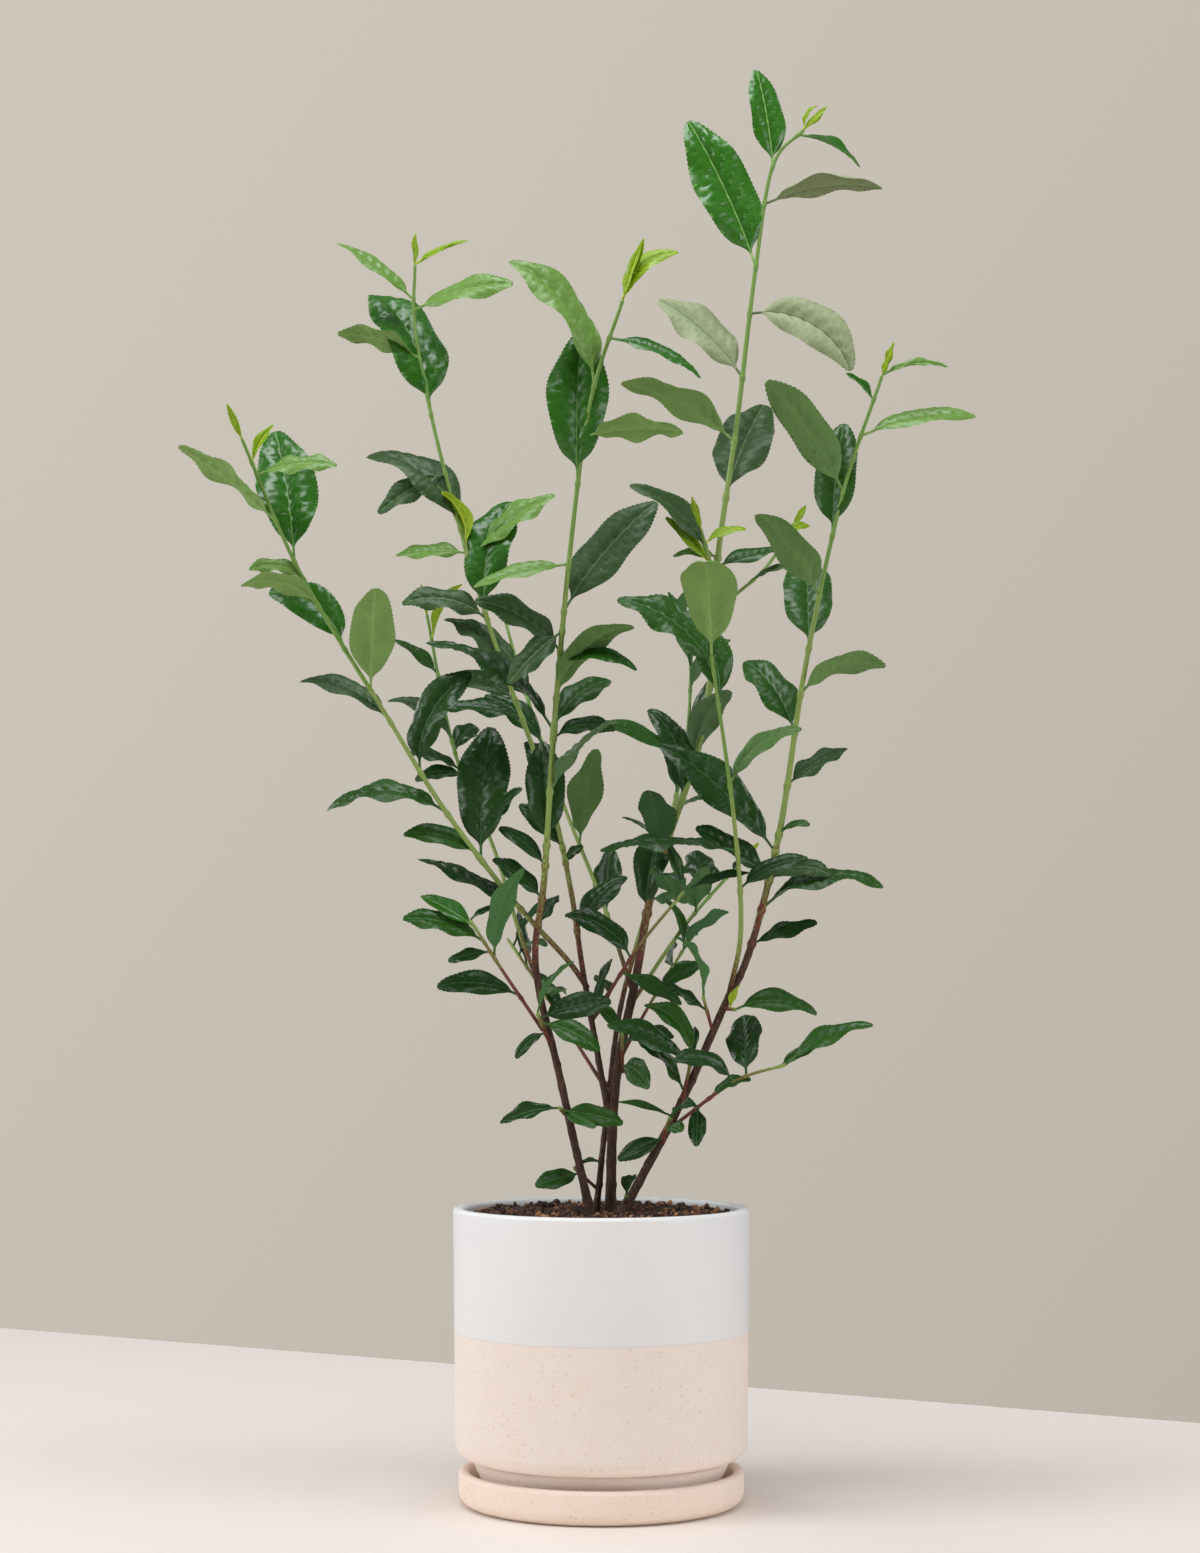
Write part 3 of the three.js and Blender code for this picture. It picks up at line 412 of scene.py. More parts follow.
def leaves_of(curve):
    """The leaves that a shoot asks for, before any is turned or left out."""
    stem, path = curve.stem, curve.path
    draw = draws(stem.seed)
    poses = [noted_leaf(path, note, draw) for note in stem.leaves]
    for flush in stem.flushes:
        draw = draws(flush.seed)
        poses += [flush_leaf(path, flush, index, draw) for index in range(flush.leaves)]
    return [dict(pose, tone=tone) for pose, tone in zip(poses, cycle(stem.tones))]


def midrib(pose, shares):
    """The midrib's points at shares of its length, with the blade's side and up there."""
    turn, rise, arch, roll = (math.radians(pose[key]) for key in ("turn", "rise", "arch", "roll"))
    level = np.array([math.sin(turn), -math.cos(turn), 0])

    def heading(share):
        angle = rise + arch * (0.5 - share)
        flat = np.cos(angle)
        return np.stack([flat * math.cos(turn), flat * math.sin(turn), np.sin(angle)], axis=-1)

    before = np.concatenate([[0], shares[:-1]])
    steps = heading((shares + before) / 2) * ((shares - before) * pose["length"])[:, None]
    along = heading(shares)
    side = math.cos(roll) * level - math.sin(roll) * np.cross(level, along)
    return pose["root"] + np.cumsum(steps, axis=0), side, np.cross(side, along)


def blade_share(shares):
    """How far along the blade each share of a leaf's length is, 0 on the stalk."""
    return np.clip((shares - PETIOLE_SHARE) / (1 - PETIOLE_SHARE), 0, 1)


def half_width(pose, shares):
    """Half the blade's width along it: a narrow stalk, then a pointed ellipse."""
    widest = pose["length"] * (YOUNG["width"] if pose["young"] else LEAF_WIDTH) / 2
    swell = np.maximum(np.sin(np.pi * blade_share(shares) ** OUTLINE["skew"]), 0)
    return widest * swell ** OUTLINE["fullness"]


def probes(pose):
    """Points spread over a blade, to test what it would touch."""
    shares = np.linspace(PROBE["from"], 1, PROBE["along"])
    offsets = np.linspace(-1, 1, PROBE["across"])
    points, side, _ = midrib(pose, shares)
    half = half_width(pose, shares)
    half[-1] = 0
    spread = offsets[None, :, None] * half[:, None, None] * side[:, None, :]
    return (points[:, None, :] + spread).reshape(-1, 3)


def distance_to_path(points, path):
    """How far each point is from each step of a path."""
    start, along = path[:-1], np.diff(path, axis=0)
    offset = points[:, None, :] - start[None]
    share = np.clip((offset * along).sum(-1) / (along * along).sum(-1), 0, 1)
    return np.linalg.norm(offset - share[..., None] * along, axis=-1)


def touches(pose, points, node, curves, leaves):
    """Whether a leaf comes too near another shoot's leaf, or a stem that isn't its own."""
    for other in leaves:
        lengths = pose["length"] + other.pose["length"]
        apart = np.linalg.norm(pose["root"] - other.pose["root"])
        if other.curve.node == node or apart > lengths + SEARCH:
            continue
        gaps = np.linalg.norm(points[:, None] - other.points[None], axis=-1)
        if gaps.min() < LEAF_CLEAR["least"] + LEAF_CLEAR["share"] * lengths:
            return True
    clear = STEM_CLEAR["least"] + STEM_CLEAR["share"] * pose["length"]
    return any(
        distance_to_path(points, curve.path).min() < clear
        for curve in curves if curve.node != node)


def place_leaf(pose, curve, curves, leaves):
    """Add a leaf, turned to one side and the other until it touches nothing."""
    for attempt in range(RETRY["tries"]):
        side = 1 if attempt % 2 == 0 else -1
        turned_pose = dict(pose, turn=pose["turn"] + side * RETRY["turn"] * math.ceil(attempt / 2))
        points = probes(turned_pose)
        if not touches(turned_pose, points, curve.node, curves, leaves):
            leaves.append(Leaf(curve, turned_pose, points))
            return


@cache
def grown():
    """Every stem's curve, cut into woody limb and leafy shoot, and every leaf on them."""
    curves = []
    for stem in STEMS:
        paths = [(smooth_path(stem.points, steps), stem.wood * steps)
                 for steps in (CURVE_STEPS, FINE_STEPS)]
        if stem.wood:
            curves.append(Curve(stem, stem.limb, True, *(path[:fork + 1] for path, fork in paths)))
        curves.append(Curve(stem, stem.shoot, False, *(path[fork:] for path, fork in paths)))
    leaves = []
    for curve in curves:
        if not curve.woody:
            for pose in leaves_of(curve):
                place_leaf(pose, curve, curves, leaves)
    return curves, leaves


def curves_that_are(woody):
    """The bare woody limbs, or the leafy shoots, and the nodes they stand for."""
    curves = [curve for curve in grown()[0] if curve.woody == woody]
    return curves, sorted({curve.node for curve in curves})


def bud_pose(curve):
    """The closed bud at a shoot's tip: a slim folded leaf in line with the shoot."""
    path = curve.path
    heading = unit(path[-1] - path[-2])
    return {
        "root": path[-1] - BUD["sink"] * heading,
        "turn": math.degrees(math.atan2(heading[1], heading[0])),
        "rise": math.degrees(math.atan2(heading[2], math.hypot(heading[0], heading[1]))),
        "length": curve.stem.bud, "arch": 0, "roll": BUD["roll"], "young": True, "place": 1,
        "tone": BUD["tone"],
    }


# ---- Mesh and material helpers -------------------------------------------------------

def linear(code):
    """A linear colour with alpha from its sRGB hex code."""
    parts = [int(code[i:i + 2], 16) / 255 for i in (1, 3, 5)]
    return [*(p / 12.92 if p <= 0.04045 else ((p + 0.055) / 1.055) ** 2.4 for p in parts), 1]


def shade(colour, shares):
    """A colour times a share for all its channels, or one for each."""
    return [*np.minimum(np.multiply(colour[:3], shares), 1), 1]


def add_node(tree, kind, settings=None, inputs=None):
    """Add one node with its settings and its inputs, each a value or the socket it comes from."""
    node = tree.nodes.new(kind)
    for key, value in (settings or {}).items():
        setattr(node, key, value)
    for key, value in (inputs or {}).items():
        if isinstance(value, bpy.types.NodeSocket):
            tree.links.new(value, node.inputs[key])
        else:
            node.inputs[key].default_value = value
    return node


def new_material(name, shader_inputs):
    """A material with its shader's values set, its tree, and the place on the piece."""
    material = bpy.data.materials.new(name)
    material.use_nodes = True
    tree = material.node_tree
    shader = tree.nodes["Principled BSDF"]
    for key, value in shader_inputs.items():
        shader.inputs[key].default_value = value
    material.diffuse_color = shader.inputs["Base Color"].default_value
    return material, tree, add_node(tree, "ShaderNodeTexCoord").outputs["Object"]


def to_shader(tree, value, key):
    """Link a value to the material's shader."""
    tree.links.new(value, tree.nodes["Principled BSDF"].inputs[key])


def noise_texture(tree, place, size, **inputs):
    """Cloudy noise with features about so many metres wide."""
    values = {"Vector": place, "Scale": 1 / size, **inputs}
    return add_node(tree, "ShaderNodeTexNoise", None, values).outputs["Fac"]


def cell_texture(tree, place, size, **settings):
    """The outputs of a texture of cells about so many metres wide."""
    values = {"Vector": place, "Scale": 1 / size}
    return add_node(tree, "ShaderNodeTexVoronoi", settings, values).outputs


def along_stem(tree, place, share):
    """The place with its height squeezed to a share, so that a pattern is drawn out upward."""
    values = {"Vector": place, "Scale": (1, 1, share)}
    return add_node(tree, "ShaderNodeMapping", None, values).outputs["Vector"]


def mapped(tree, value, source, target):
    """A value with one range turned into another."""
    return add_node(tree, "ShaderNodeMapRange", None, {
        "Value": value, "From Min": source[0], "From Max": source[1],
        "To Min": target[0], "To Max": target[1]}).outputs["Result"]


def calculated(tree, operation, first, second):
    """The result of a math operation on two values."""
    settings = {"operation": operation}
    return add_node(tree, "ShaderNodeMath", settings, {0: first, 1: second}).outputs["Value"]


def mixed(tree, share, first, second):
    """Two colours, mixed by a share."""
    settings = {"data_type": "RGBA"}
    return add_node(tree, "ShaderNodeMix", settings, {0: share, 6: first, 7: second}).outputs[2]


def add_relief(tree, height, strength, depth):
    """Fine relief of the material's surface, so many metres deep."""
    values = {"Strength": strength, "Distance": depth, "Height": height}
    to_shader(tree, add_node(tree, "ShaderNodeBump", None, values).outputs["Normal"], "Normal")


def set_ramp(ramp_node, stops):
    """Give a colour ramp its stops, each a place from 0 to 1 and a colour."""
    elements = ramp_node.color_ramp.elements
    while len(elements) < len(stops):
        elements.new(0.5)
    for element, (place, colour) in zip(elements, stops):
        element.position = place
        element.color = colour


def new_piece(name, body, materials, part_slot=None, stands_for=()):
    """A smooth mesh object on the bush's body.

    The body is its vertices in millimetres and its faces, then, where it has them, each
    face's kind (the number of its material) and which vertices lie on a crisp edge.
    """
    vertices, faces, kinds, crisp = (*body, None, None)[:4]
    mesh = bpy.data.meshes.new(name)
    places = (np.asarray(vertices, float) * MM).tolist()
    mesh.from_pydata(places, [], [list(face) for face in faces])
    mesh.polygons.foreach_set("use_smooth", np.ones(len(mesh.polygons), bool))
    if kinds is not None:
        mesh.polygons.foreach_set("material_index", np.asarray(kinds, np.int32))
    if crisp is not None:
        ends = np.empty(len(mesh.edges) * 2, np.int32)
        mesh.edges.foreach_get("vertices", ends)
        flags = np.asarray(crisp, bool)[ends.reshape(-1, 2)].all(axis=1)
        mesh.attributes.new("sharp_edge", "BOOLEAN", "EDGE").data.foreach_set("value", flags)
    for material in materials:
        mesh.materials.append(material)
    mesh.validate()
    mesh.update()
    piece = bpy.data.objects.new(name, mesh)
    bpy.context.scene.collection.objects.link(piece)
    if part_slot:
        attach(piece, BODY)
        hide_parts(*stands_for)
    return piece


def joined(bodies):
    """Several bodies of vertices, faces and kinds, and crisp vertices where given, as one."""
    starts = np.cumsum([0, *(len(body[0]) for body in bodies[:-1])])
    faces = np.concatenate([body[1] + start for body, start in zip(bodies, starts)])
    vertices, _, *rest = (np.concatenate(parts) for parts in zip(*bodies))
    return vertices, faces, *rest


def quads(index):
    """Four-sided faces between the neighbours in a grid of vertex numbers."""
    corners = (index[:-1, :-1], index[:-1, 1:], index[1:, 1:], index[1:, :-1])
    return np.stack(corners, axis=-1).reshape(-1, 4)


# ---- Pottery -------------------------------------------------------------------------

TURN_STEPS = 192
CRISP_ANGLE = 40                    # edges of the pottery that turn more than this are crisp
SAUCER = {
    "radius": 80, "height": 19, "wall": 6, "floor": 5, "corner": 7.5, "rim": 2.6, "fillet": 4,
}
POT = {
    "radius": 83.5,                 # at the rim
    "height": 164,                  # rim above the table
    "wall": 6,
    "draft": 1.5,                   # how much narrower the body is at its lower corner
    "corner": 9,                    # lower corner radius
    "underside": 25.5,
    "base": 5.3,                    # the foot stands this high, on the saucer's floor
    "foot": 64,                     # foot radius on the saucer
    "foot_top": 71.6,
    "foot_top_height": 22.5,
    "foot_edge": 1.2,
    "foot_fillet": 3,
    "floor": 9,
    "inside_corner": 6,             # how far the inside's corner stands above the outside's
    "rim": 2.2,
}
GLAZE = {"line": 95.5, "coat": 0.8, "proud": 0.12, "round": 3, "inside": 145, "gap": 0.05}
CLAY_TOP = {"below": 1.5, "outside": 2, "inside": 1.5}    # how far it keeps inside the glaze
CORNER_RADIUS_AT = POT["radius"] - POT["draft"] - POT["corner"]
CORNER_HEIGHT = POT["underside"] + POT["corner"]
INNER_RADIUS = POT["radius"] - POT["wall"]


def arc(centre, radius, start, end, steps):
    """Points of an arc in a turned profile; 0 degrees is outwards and 90 is up."""
    angles = np.radians(np.linspace(start, end, steps + 1))
    return [(centre[0] + radius * math.cos(a), centre[1] + radius * math.sin(a)) for a in angles]


def ring_angles(steps):
    """The angles of a full turn's steps."""
    return np.arange(steps) * 2 * np.pi / steps


def turned(profile):
    """A body turned about the upright axis, from a profile that starts and ends on the axis."""
    vertices, faces, rings = [], [], []
    ring = [(math.cos(angle), math.sin(angle)) for angle in ring_angles(TURN_STEPS)]
    for radius, height in profile:
        if radius == 0:
            rings.append([len(vertices)] * TURN_STEPS)
            vertices.append((0, 0, height))
            continue
        rings.append(list(range(len(vertices), len(vertices) + TURN_STEPS)))
        vertices += [(radius * x, radius * y, height) for x, y in ring]
    for low, high in zip(rings, rings[1:]):
        for i in range(TURN_STEPS):
            k = (i + 1) % TURN_STEPS
            faces.append(list(dict.fromkeys((low[i], low[k], high[k], high[i]))))
    return vertices, faces


def pot_radius(height):
    """The pot's outer radius at a height of its body."""
    down = (POT["height"] - height) / (POT["height"] - CORNER_HEIGHT)
    return POT["radius"] - POT["draft"] * down


def saucer_profile():
    """The saucer: a rounded lower corner, an upright wall and a flat floor inside."""
    radius, height, wall, floor, corner, rim, fillet = SAUCER.values()
    return [
        (0, 0),
        *arc((radius - corner, corner), corner, -90, 0, 14),
        *arc((radius - rim, height - rim), rim, 0, 90, 9),
        *arc((radius - wall + rim, height - rim), rim, 90, 180, 9),
        *arc((radius - wall - fillet, floor + fillet), fillet, 0, -90, 8),
        (0, floor),
    ]


def pot_profile():
    """The clay body: a sloping foot, a rounded lower corner, and a step under the glaze."""
    base, edge, fillet = POT["base"], POT["foot_edge"], POT["foot_fillet"]
    line, coat = GLAZE["line"], GLAZE["coat"]
    top = POT["height"] - CLAY_TOP["below"]
    return [
        (0, base),
        *arc((POT["foot"] - edge, base + edge), edge, -90, -25, 4),
        *arc((POT["foot_top"] + fillet, POT["foot_top_height"]), fillet, 180, 90, 5),
        *arc((CORNER_RADIUS_AT, CORNER_HEIGHT), POT["corner"], -90, 0, 16),
        (pot_radius(line), line),
        (pot_radius(line) - coat, line),
        (POT["radius"] - coat - CLAY_TOP["outside"], top),
        (INNER_RADIUS + CLAY_TOP["inside"], top),
        (INNER_RADIUS + coat, GLAZE["inside"]),
        (INNER_RADIUS, GLAZE["inside"]),
        (INNER_RADIUS, CORNER_HEIGHT + POT["inside_corner"]),
        (POT["foot"] - POT["wall"], base + POT["floor"]),
        (0, base + POT["floor"]),
    ]


def glaze_profile():
    """The glaze: a thin coat over the upper wall, the rim and the inside down to the soil."""
    line, coat, proud, rim = GLAZE["line"], GLAZE["coat"], GLAZE["proud"], POT["rim"]
    edge = GLAZE["round"] * proud
    start = (pot_radius(line) - coat, line + GLAZE["gap"])
    return [
        start,
        *arc((pot_radius(line) + proud - edge, line + edge), edge, -90, 0, 4),
        *arc((POT["radius"] + proud - rim, POT["height"] - rim), rim, 0, 90, 10),
        *arc((INNER_RADIUS + rim, POT["height"] - rim), rim, 90, 180, 10),
        (INNER_RADIUS, GLAZE["inside"]),
        (INNER_RADIUS + coat, GLAZE["inside"]),
        (INNER_RADIUS + CLAY_TOP["inside"], POT["height"] - CLAY_TOP["below"]),
        (POT["radius"] - coat - CLAY_TOP["outside"], POT["height"] - CLAY_TOP["below"]),
        start,
    ]


def bisque_clay(name, colour, speck, speck_spacing):
    """Unglazed stoneware fired once: a chalky dry skin with fine dark grog specks showing."""
    material, tree, place = new_material(name, {"Roughness": 0.78, "IOR": 1.5})
    # Grog is 0.3 to 0.8 mm; the specks are drawn near 1 mm so that they still show.
    cells = cell_texture(tree, place, speck_spacing)
    reach = calculated(tree, "MULTIPLY", cells["Color"], 0.34)
    specks = calculated(tree, "LESS_THAN", cells["Distance"], reach)
    # Firing leaves the colour uneven from a few centimetres down to single grains.
    clouds = noise_texture(tree, place, 0.02, Detail=6.0, Roughness=0.85)
    body = mixed(tree, clouds, colour, shade(colour, (0.95, 0.86, 0.79)))
    skin = mixed(tree, calculated(tree, "MULTIPLY", specks, 0.28), body, speck)
    to_shader(tree, skin, "Base Color")
    # Fine sandy tooth, 0.7 mm grain.
    add_relief(tree, noise_texture(tree, place, 0.0007), 0.35, 0.00012)
    return material


def satin_glaze(colour):
    """White satin glaze, dipped: smooth, half glossy, and very faintly uneven."""
    material, tree, place = new_material("satin_white_glaze", {"Base Color": colour, "IOR": 1.52})
    clouds = noise_texture(tree, place, 0.025)
    to_shader(tree, mapped(tree, clouds, (0, 1), (0.38, 0.5)), "Roughness")
    # A dipped glaze dries in slight waves about 9 mm apart.
    add_relief(tree, noise_texture(tree, place, 0.009), 0.2, 0.0003)
    return material


def build_pottery(look):
    """Saucer, clay pot and its glaze coat."""
    colours = {"peach": look.clay[:], "saucer": look.saucer[:]}
    peach, saucer_clay = (
        bisque_clay(f"{name}_bisque_stoneware", colour, look.speck[:], look.speck_spacing)
        for name, colour in colours.items())
    for name, profile, material, part_slot, node in (
            ("saucer_turned", saucer_profile(), saucer_clay, "clay", "saucer"),
            ("pot_turned", pot_profile(), peach, "clay", "pot"),
            ("pot_glaze_coat", glaze_profile(), satin_glaze(look.glaze[:]), "glaze", "pot_glaze")):
        piece = new_piece(name, turned(profile), [material], part_slot, [node])
        piece.data.set_sharp_from_angle(angle=math.radians(CRISP_ANGLE))


# ---- Soil ----------------------------------------------------------------------------

SOIL = {"bottom": 145, "clear": 0.2, "rings": 70, "steps": 220, "first_ring": 0.0002}
SOIL_SURFACE = ((0, 22, 38, 54, 68, 77.5), (159.9, 160, 161, 161.6, 160.6, 158.5))
SOIL_RELIEF = ((16, 1.5), (5.5, 0.9), (2.2, 0.5))    # width of the lumps, and their height
SOIL_NOISE_FROM = (7, -3, 4)
CRUMB = {
    "seed": 11,
    "edge": 3,                      # clear of the pot's wall
    "smallest": 0.25,               # as a share of the largest
    "rarity": 2.2,                  # the higher, the fewer large ones
    "lumps": 0.22,
    "lump_limit": 1.5,
    "raised": 0.3,
}
CRUMB_SHAPES = ((0.7, 0.5, 0.4), (1.1, 0.9, 0.7))    # from the flattest to the roundest
CRUMB_KINDS = (0.5, 0.32, 0.18)     # shares of peat, loam and bark chips


def soil_height(x, y):
    """The soil's surface: level round the stems, a low bank, and crumbly all over."""
    height = float(np.interp(math.hypot(x, y), *SOIL_SURFACE))
    from_x, from_y, level = SOIL_NOISE_FROM
    for width, amplitude in SOIL_RELIEF:
        place = Vector((x / width + from_x, y / width + from_y, level / width))
        height += amplitude * noise.noise(place)
    return height


def soil_bed():
    """The soil's surface on a grid of rings, with a skirt and a flat bottom out of sight."""
    rings, steps = SOIL["rings"], SOIL["steps"]
    radii = (INNER_RADIUS - SOIL["clear"]) * np.sqrt(np.linspace(SOIL["first_ring"], 1, rings))
    vertices = [(r * math.cos(a), r * math.sin(a)) for r in radii for a in ring_angles(steps)]
    vertices = [(x, y, soil_height(x, y)) for x, y in vertices]
    vertices += [(x, y, SOIL["bottom"]) for x, y, _ in vertices[-steps:]]
    top, bottom, last = len(vertices), len(vertices) + 1, rings * steps
    vertices += [(0, 0, soil_height(0, 0)), (0, 0, SOIL["bottom"])]
    # Each ring's numbers, with its first again at the end.
    index = np.pad(np.arange(last + steps).reshape(-1, steps), ((0, 0), (0, 1)), "wrap")
    faces = quads(index.T).tolist()
    for i, k in zip(index[0], index[0, 1:]):
        faces += [(top, i, k), (bottom, last + k, last + i)]
    return vertices, faces


def soil_crumbs(count, largest):
    """Loose crumbs of soil and bark chips on the surface, joined, with a colour for each."""
    ball = bmesh.new()
    bmesh.ops.create_icosphere(ball, subdivisions=1, radius=1)
    bmesh.ops.subdivide_edges(ball, edges=ball.edges[:], cuts=1, use_grid_fill=True)
    base = np.array([vertex.co.normalized() for vertex in ball.verts])
    faces = np.array([[vertex.index for vertex in face.verts] for face in ball.faces])
    ball.free()
    rng = np.random.default_rng(CRUMB["seed"])
    limit, smallest = CRUMB["lump_limit"], CRUMB["smallest"]
    bodies = []
    for _ in range(count):
        radius = (INNER_RADIUS - CRUMB["edge"]) * math.sqrt(rng.random())
        angle = rng.random() * 2 * math.pi
        x, y = radius * math.cos(angle), radius * math.sin(angle)
        size = largest / 2 * (smallest + (1 - smallest) * rng.random() ** CRUMB["rarity"])
        turn = np.linalg.qr(rng.normal(size=(3, 3)))[0]
        lumps = rng.normal(size=(len(base), 1)).clip(-limit, limit)
        shape = base * (1 + CRUMB["lumps"] * lumps) * (size * rng.uniform(*CRUMB_SHAPES)) @ turn.T
        if np.linalg.det(turn) < 0:
            shape = -shape
        kind = int(rng.choice(len(CRUMB_KINDS), p=CRUMB_KINDS))
        place = (x, y, soil_height(x, y) + CRUMB["raised"] * size)
        bodies.append((shape + place, faces, np.full(len(faces), kind)))
    return joined(bodies)


def potting_soil(name, colour, roughness):
    """Moist potting soil of peat and composted bark: dark, matt and crumbly."""
    material, tree, place = new_material(name, {"Roughness": roughness, "IOR": 1.45})
    # Clumps of 4 mm, and a grain of 1.2 mm on them.
    clumps = noise_texture(tree, place, 0.004, Detail=4.0, Roughness=0.7)
    to_shader(tree, mixed(tree, clumps, shade(colour, 0.45), shade(colour, 1.7)), "Base Color")
    add_relief(tree, noise_texture(tree, place, 0.0012, Detail=3.0), 0.8, 0.0005)
    return material


def build_soil(look):
    """The soil's bed and the crumbs on it."""
    peat = potting_soil("potting_soil_peat", look.peat[:], 0.85)
    loam = potting_soil("potting_soil_loam", look.loam[:], 0.9)
    chips = potting_soil("composted_bark_chips", look.chips[:], 0.8)
    new_piece("soil_bed", soil_bed(), [peat], "soil", ["soil"])
    crumbs = soil_crumbs(look.crumbs, look.crumb_size / MM)
    new_piece("soil_crumbs", crumbs, [peat, loam, chips], "soil", ["soil"])


# ---- Woody stems ---------------------------------------------------------------------

STEM_SIDES = 28
STEM_RING = 0.9                     # millimetres between rings
STEM_SUNK = 3                       # how far a rooted stem goes down into the soil
STEM_SOCKET = 2.5                   # how far a limb's end runs on inside the shoot
SOCKET_TAPER = (0.9, 0.6)
ROOT_FLARE = {"share": 0.3, "height": 9}
BARK_SEED = 50                      # added to a stem's own
# Ridges between fissures, as noise drawn out along the stem, and finer noise on them.
BARK = {"depth": 0.34, "round": 2.6, "along": 0.07, "ridges": 1.6, "floor": 0.35}
BARK_SHIFT = 40                     # the most that the noise is shifted from stem to stem
BARK_FADE = 0.75                    # how much of the relief is gone where the shoot starts
BARK_FINE = {"round": 2.3, "along": 0.35, "share": 0.45}
# Old leaf scars: a swelling round the stem, higher on the side where the leaf stood.
KNOT = {"every": 13, "clear": 4, "stray": 60, "length": 1.6, "swell": 0.42, "round": 0.35}


def resampled(path, spacing):
    """The path with its points evenly spaced, and how far along it each one is."""
    length = distances(path)[-1]
    reached = np.linspace(0, length, max(int(length / spacing), 4) + 1)
    return points_at(path, reached), reached


def ring_axes(path):
    """Two directions across the path at each point, carried along it without a twist."""
    along = np.gradient(path, axis=0)
    along /= np.linalg.norm(along, axis=1)[:, None]
    sides = [unit(np.cross(along[0], (0, 1, 0)))]
    for heading in along[1:]:
        sides.append(unit(sides[-1] - heading * (sides[-1] @ heading)))
    return np.array(sides), np.cross(sides, along)


def tube(path, radii):
    """A closed tube along a path, from a radius at each ring and side."""
    rings, sides = radii.shape
    across, other = (axis[:, None] for axis in ring_axes(path))
    angles = ring_angles(sides)[None, :, None]
    outward = np.cos(angles) * across + np.sin(angles) * other
    vertices = (path[:, None] + outward * radii[..., None]).reshape(-1, 3)
    index = np.arange(rings * sides).reshape(rings, sides)
    wall = quads(np.column_stack([index, index[:, 0]]))
    # The end caps are strips of four-sided faces, so that all faces have four corners.
    cap = np.array([(i, sides - 1 - i, sides - 2 - i, i + 1) for i in range(sides // 2 - 1)])
    return vertices, np.concatenate([wall, cap, cap[:, ::-1] + index[-1, 0]])


def bark_relief(along, shift):
    """The height of the bark at each ring and side of a stem."""
    relief = np.zeros((len(along), STEM_SIDES))
    for i, reached in enumerate(along):
        for k, angle in enumerate(ring_angles(STEM_SIDES)):
            x = BARK["round"] * math.cos(angle) + shift
            y = BARK["round"] * math.sin(angle)
            ridge = abs(noise.noise(Vector((x, y, BARK["along"] * reached))))
            fine = noise.noise(Vector((
                x * BARK_FINE["round"], y * BARK_FINE["round"], reached * BARK_FINE["along"])))
            relief[i, k] = ridge * BARK["ridges"] - BARK["floor"] + BARK_FINE["share"] * fine
    return relief


def stem_radii(stem, path, along):
    """A woody limb's radius at each ring and side: taper, root flare, fissures and scars."""
    draw = draws(stem.seed + BARK_SEED)
    share = np.clip(along / (along[-1] - STEM_SOCKET), 0, 1)
    radii = stem.foot + (stem.radii[0] - stem.foot) * share
    if stem.rooted:
        height = path[:, 2] - stem.points[0][2]
        radii = radii * (1 + ROOT_FLARE["share"] * np.exp(-height / ROOT_FLARE["height"]))
    # Toward the shoot the bark is younger and smoother.
    relief = bark_relief(along, BARK_SHIFT * next(draw))
    relief *= BARK["depth"] * (1 - BARK_FADE * share)[:, None]
    for turn, knot in enumerate(np.arange(
            KNOT["every"] * next(draw), along[-1] - KNOT["clear"], KNOT["every"])):
        facing = np.radians(turn * DIVERGENCE + KNOT["stray"] * next(draw))
        nearness = np.exp(-((along - knot) / KNOT["length"]) ** 2)[:, None]
        sided = np.maximum(np.cos(ring_angles(STEM_SIDES) - facing), 0) ** 3
        relief += KNOT["swell"] * nearness * (KNOT["round"] + (1 - KNOT["round"]) * sided)
    result = radii[:, None] + relief
    inside = along > along[-1] - STEM_SOCKET
    result[inside] *= np.linspace(*SOCKET_TAPER, inside.sum())[:, None]
    return result


def bark_brown(name, colour, pale):
    """Thin bark of young wood: matt brown, finely streaked along the stem, with pale spots."""
    material, tree, place = new_material(name, {"Roughness": 0.8, "IOR": 1.45})
    # Streaks 1 mm wide and 8 mm long run along the stem.
    streaks = noise_texture(tree, along_stem(tree, place, 0.12), 0.001, Detail=3.0)
    ramp = add_node(tree, "ShaderNodeValToRGB", None, {"Fac": streaks})
    set_ramp(ramp, ((0.3, shade(colour, 0.5)), (0.55, colour), (0.75, shade(colour, 1.8))))
    # Lenticels are pale corky dots under 1 mm, about 4 mm apart.
    dots = mapped(tree, cell_texture(tree, place, 0.004)["Distance"], (0.2, 0.12), (0, 0.55))
    to_shader(tree, mixed(tree, dots, ramp.outputs["Color"], pale), "Base Color")
    add_relief(tree, streaks, 0.6, 0.0003)
    return material


def build_stems(look):
    """The woody stems and boughs, with the relief of their bark."""
    limbs, nodes = curves_that_are(woody=True)
    bodies = []
    for curve in limbs:
        fine = curve.fine
        sunk = [fine[0] - (0, 0, STEM_SUNK)] if curve.stem.rooted else []
        socket = fine[-1] + STEM_SOCKET * unit(fine[-1] - fine[-2])
        path, along = resampled(np.array([*sunk, *fine, socket]), STEM_RING)
        bodies.append(tube(path, stem_radii(curve.stem, path, along)))
    bark = bark_brown("tea_bark_brown", look.bark[:], look.lenticels[:])
    new_piece("stems_bark", joined(bodies), [bark], "bark", nodes)


# ---- Twigs ---------------------------------------------------------------------------

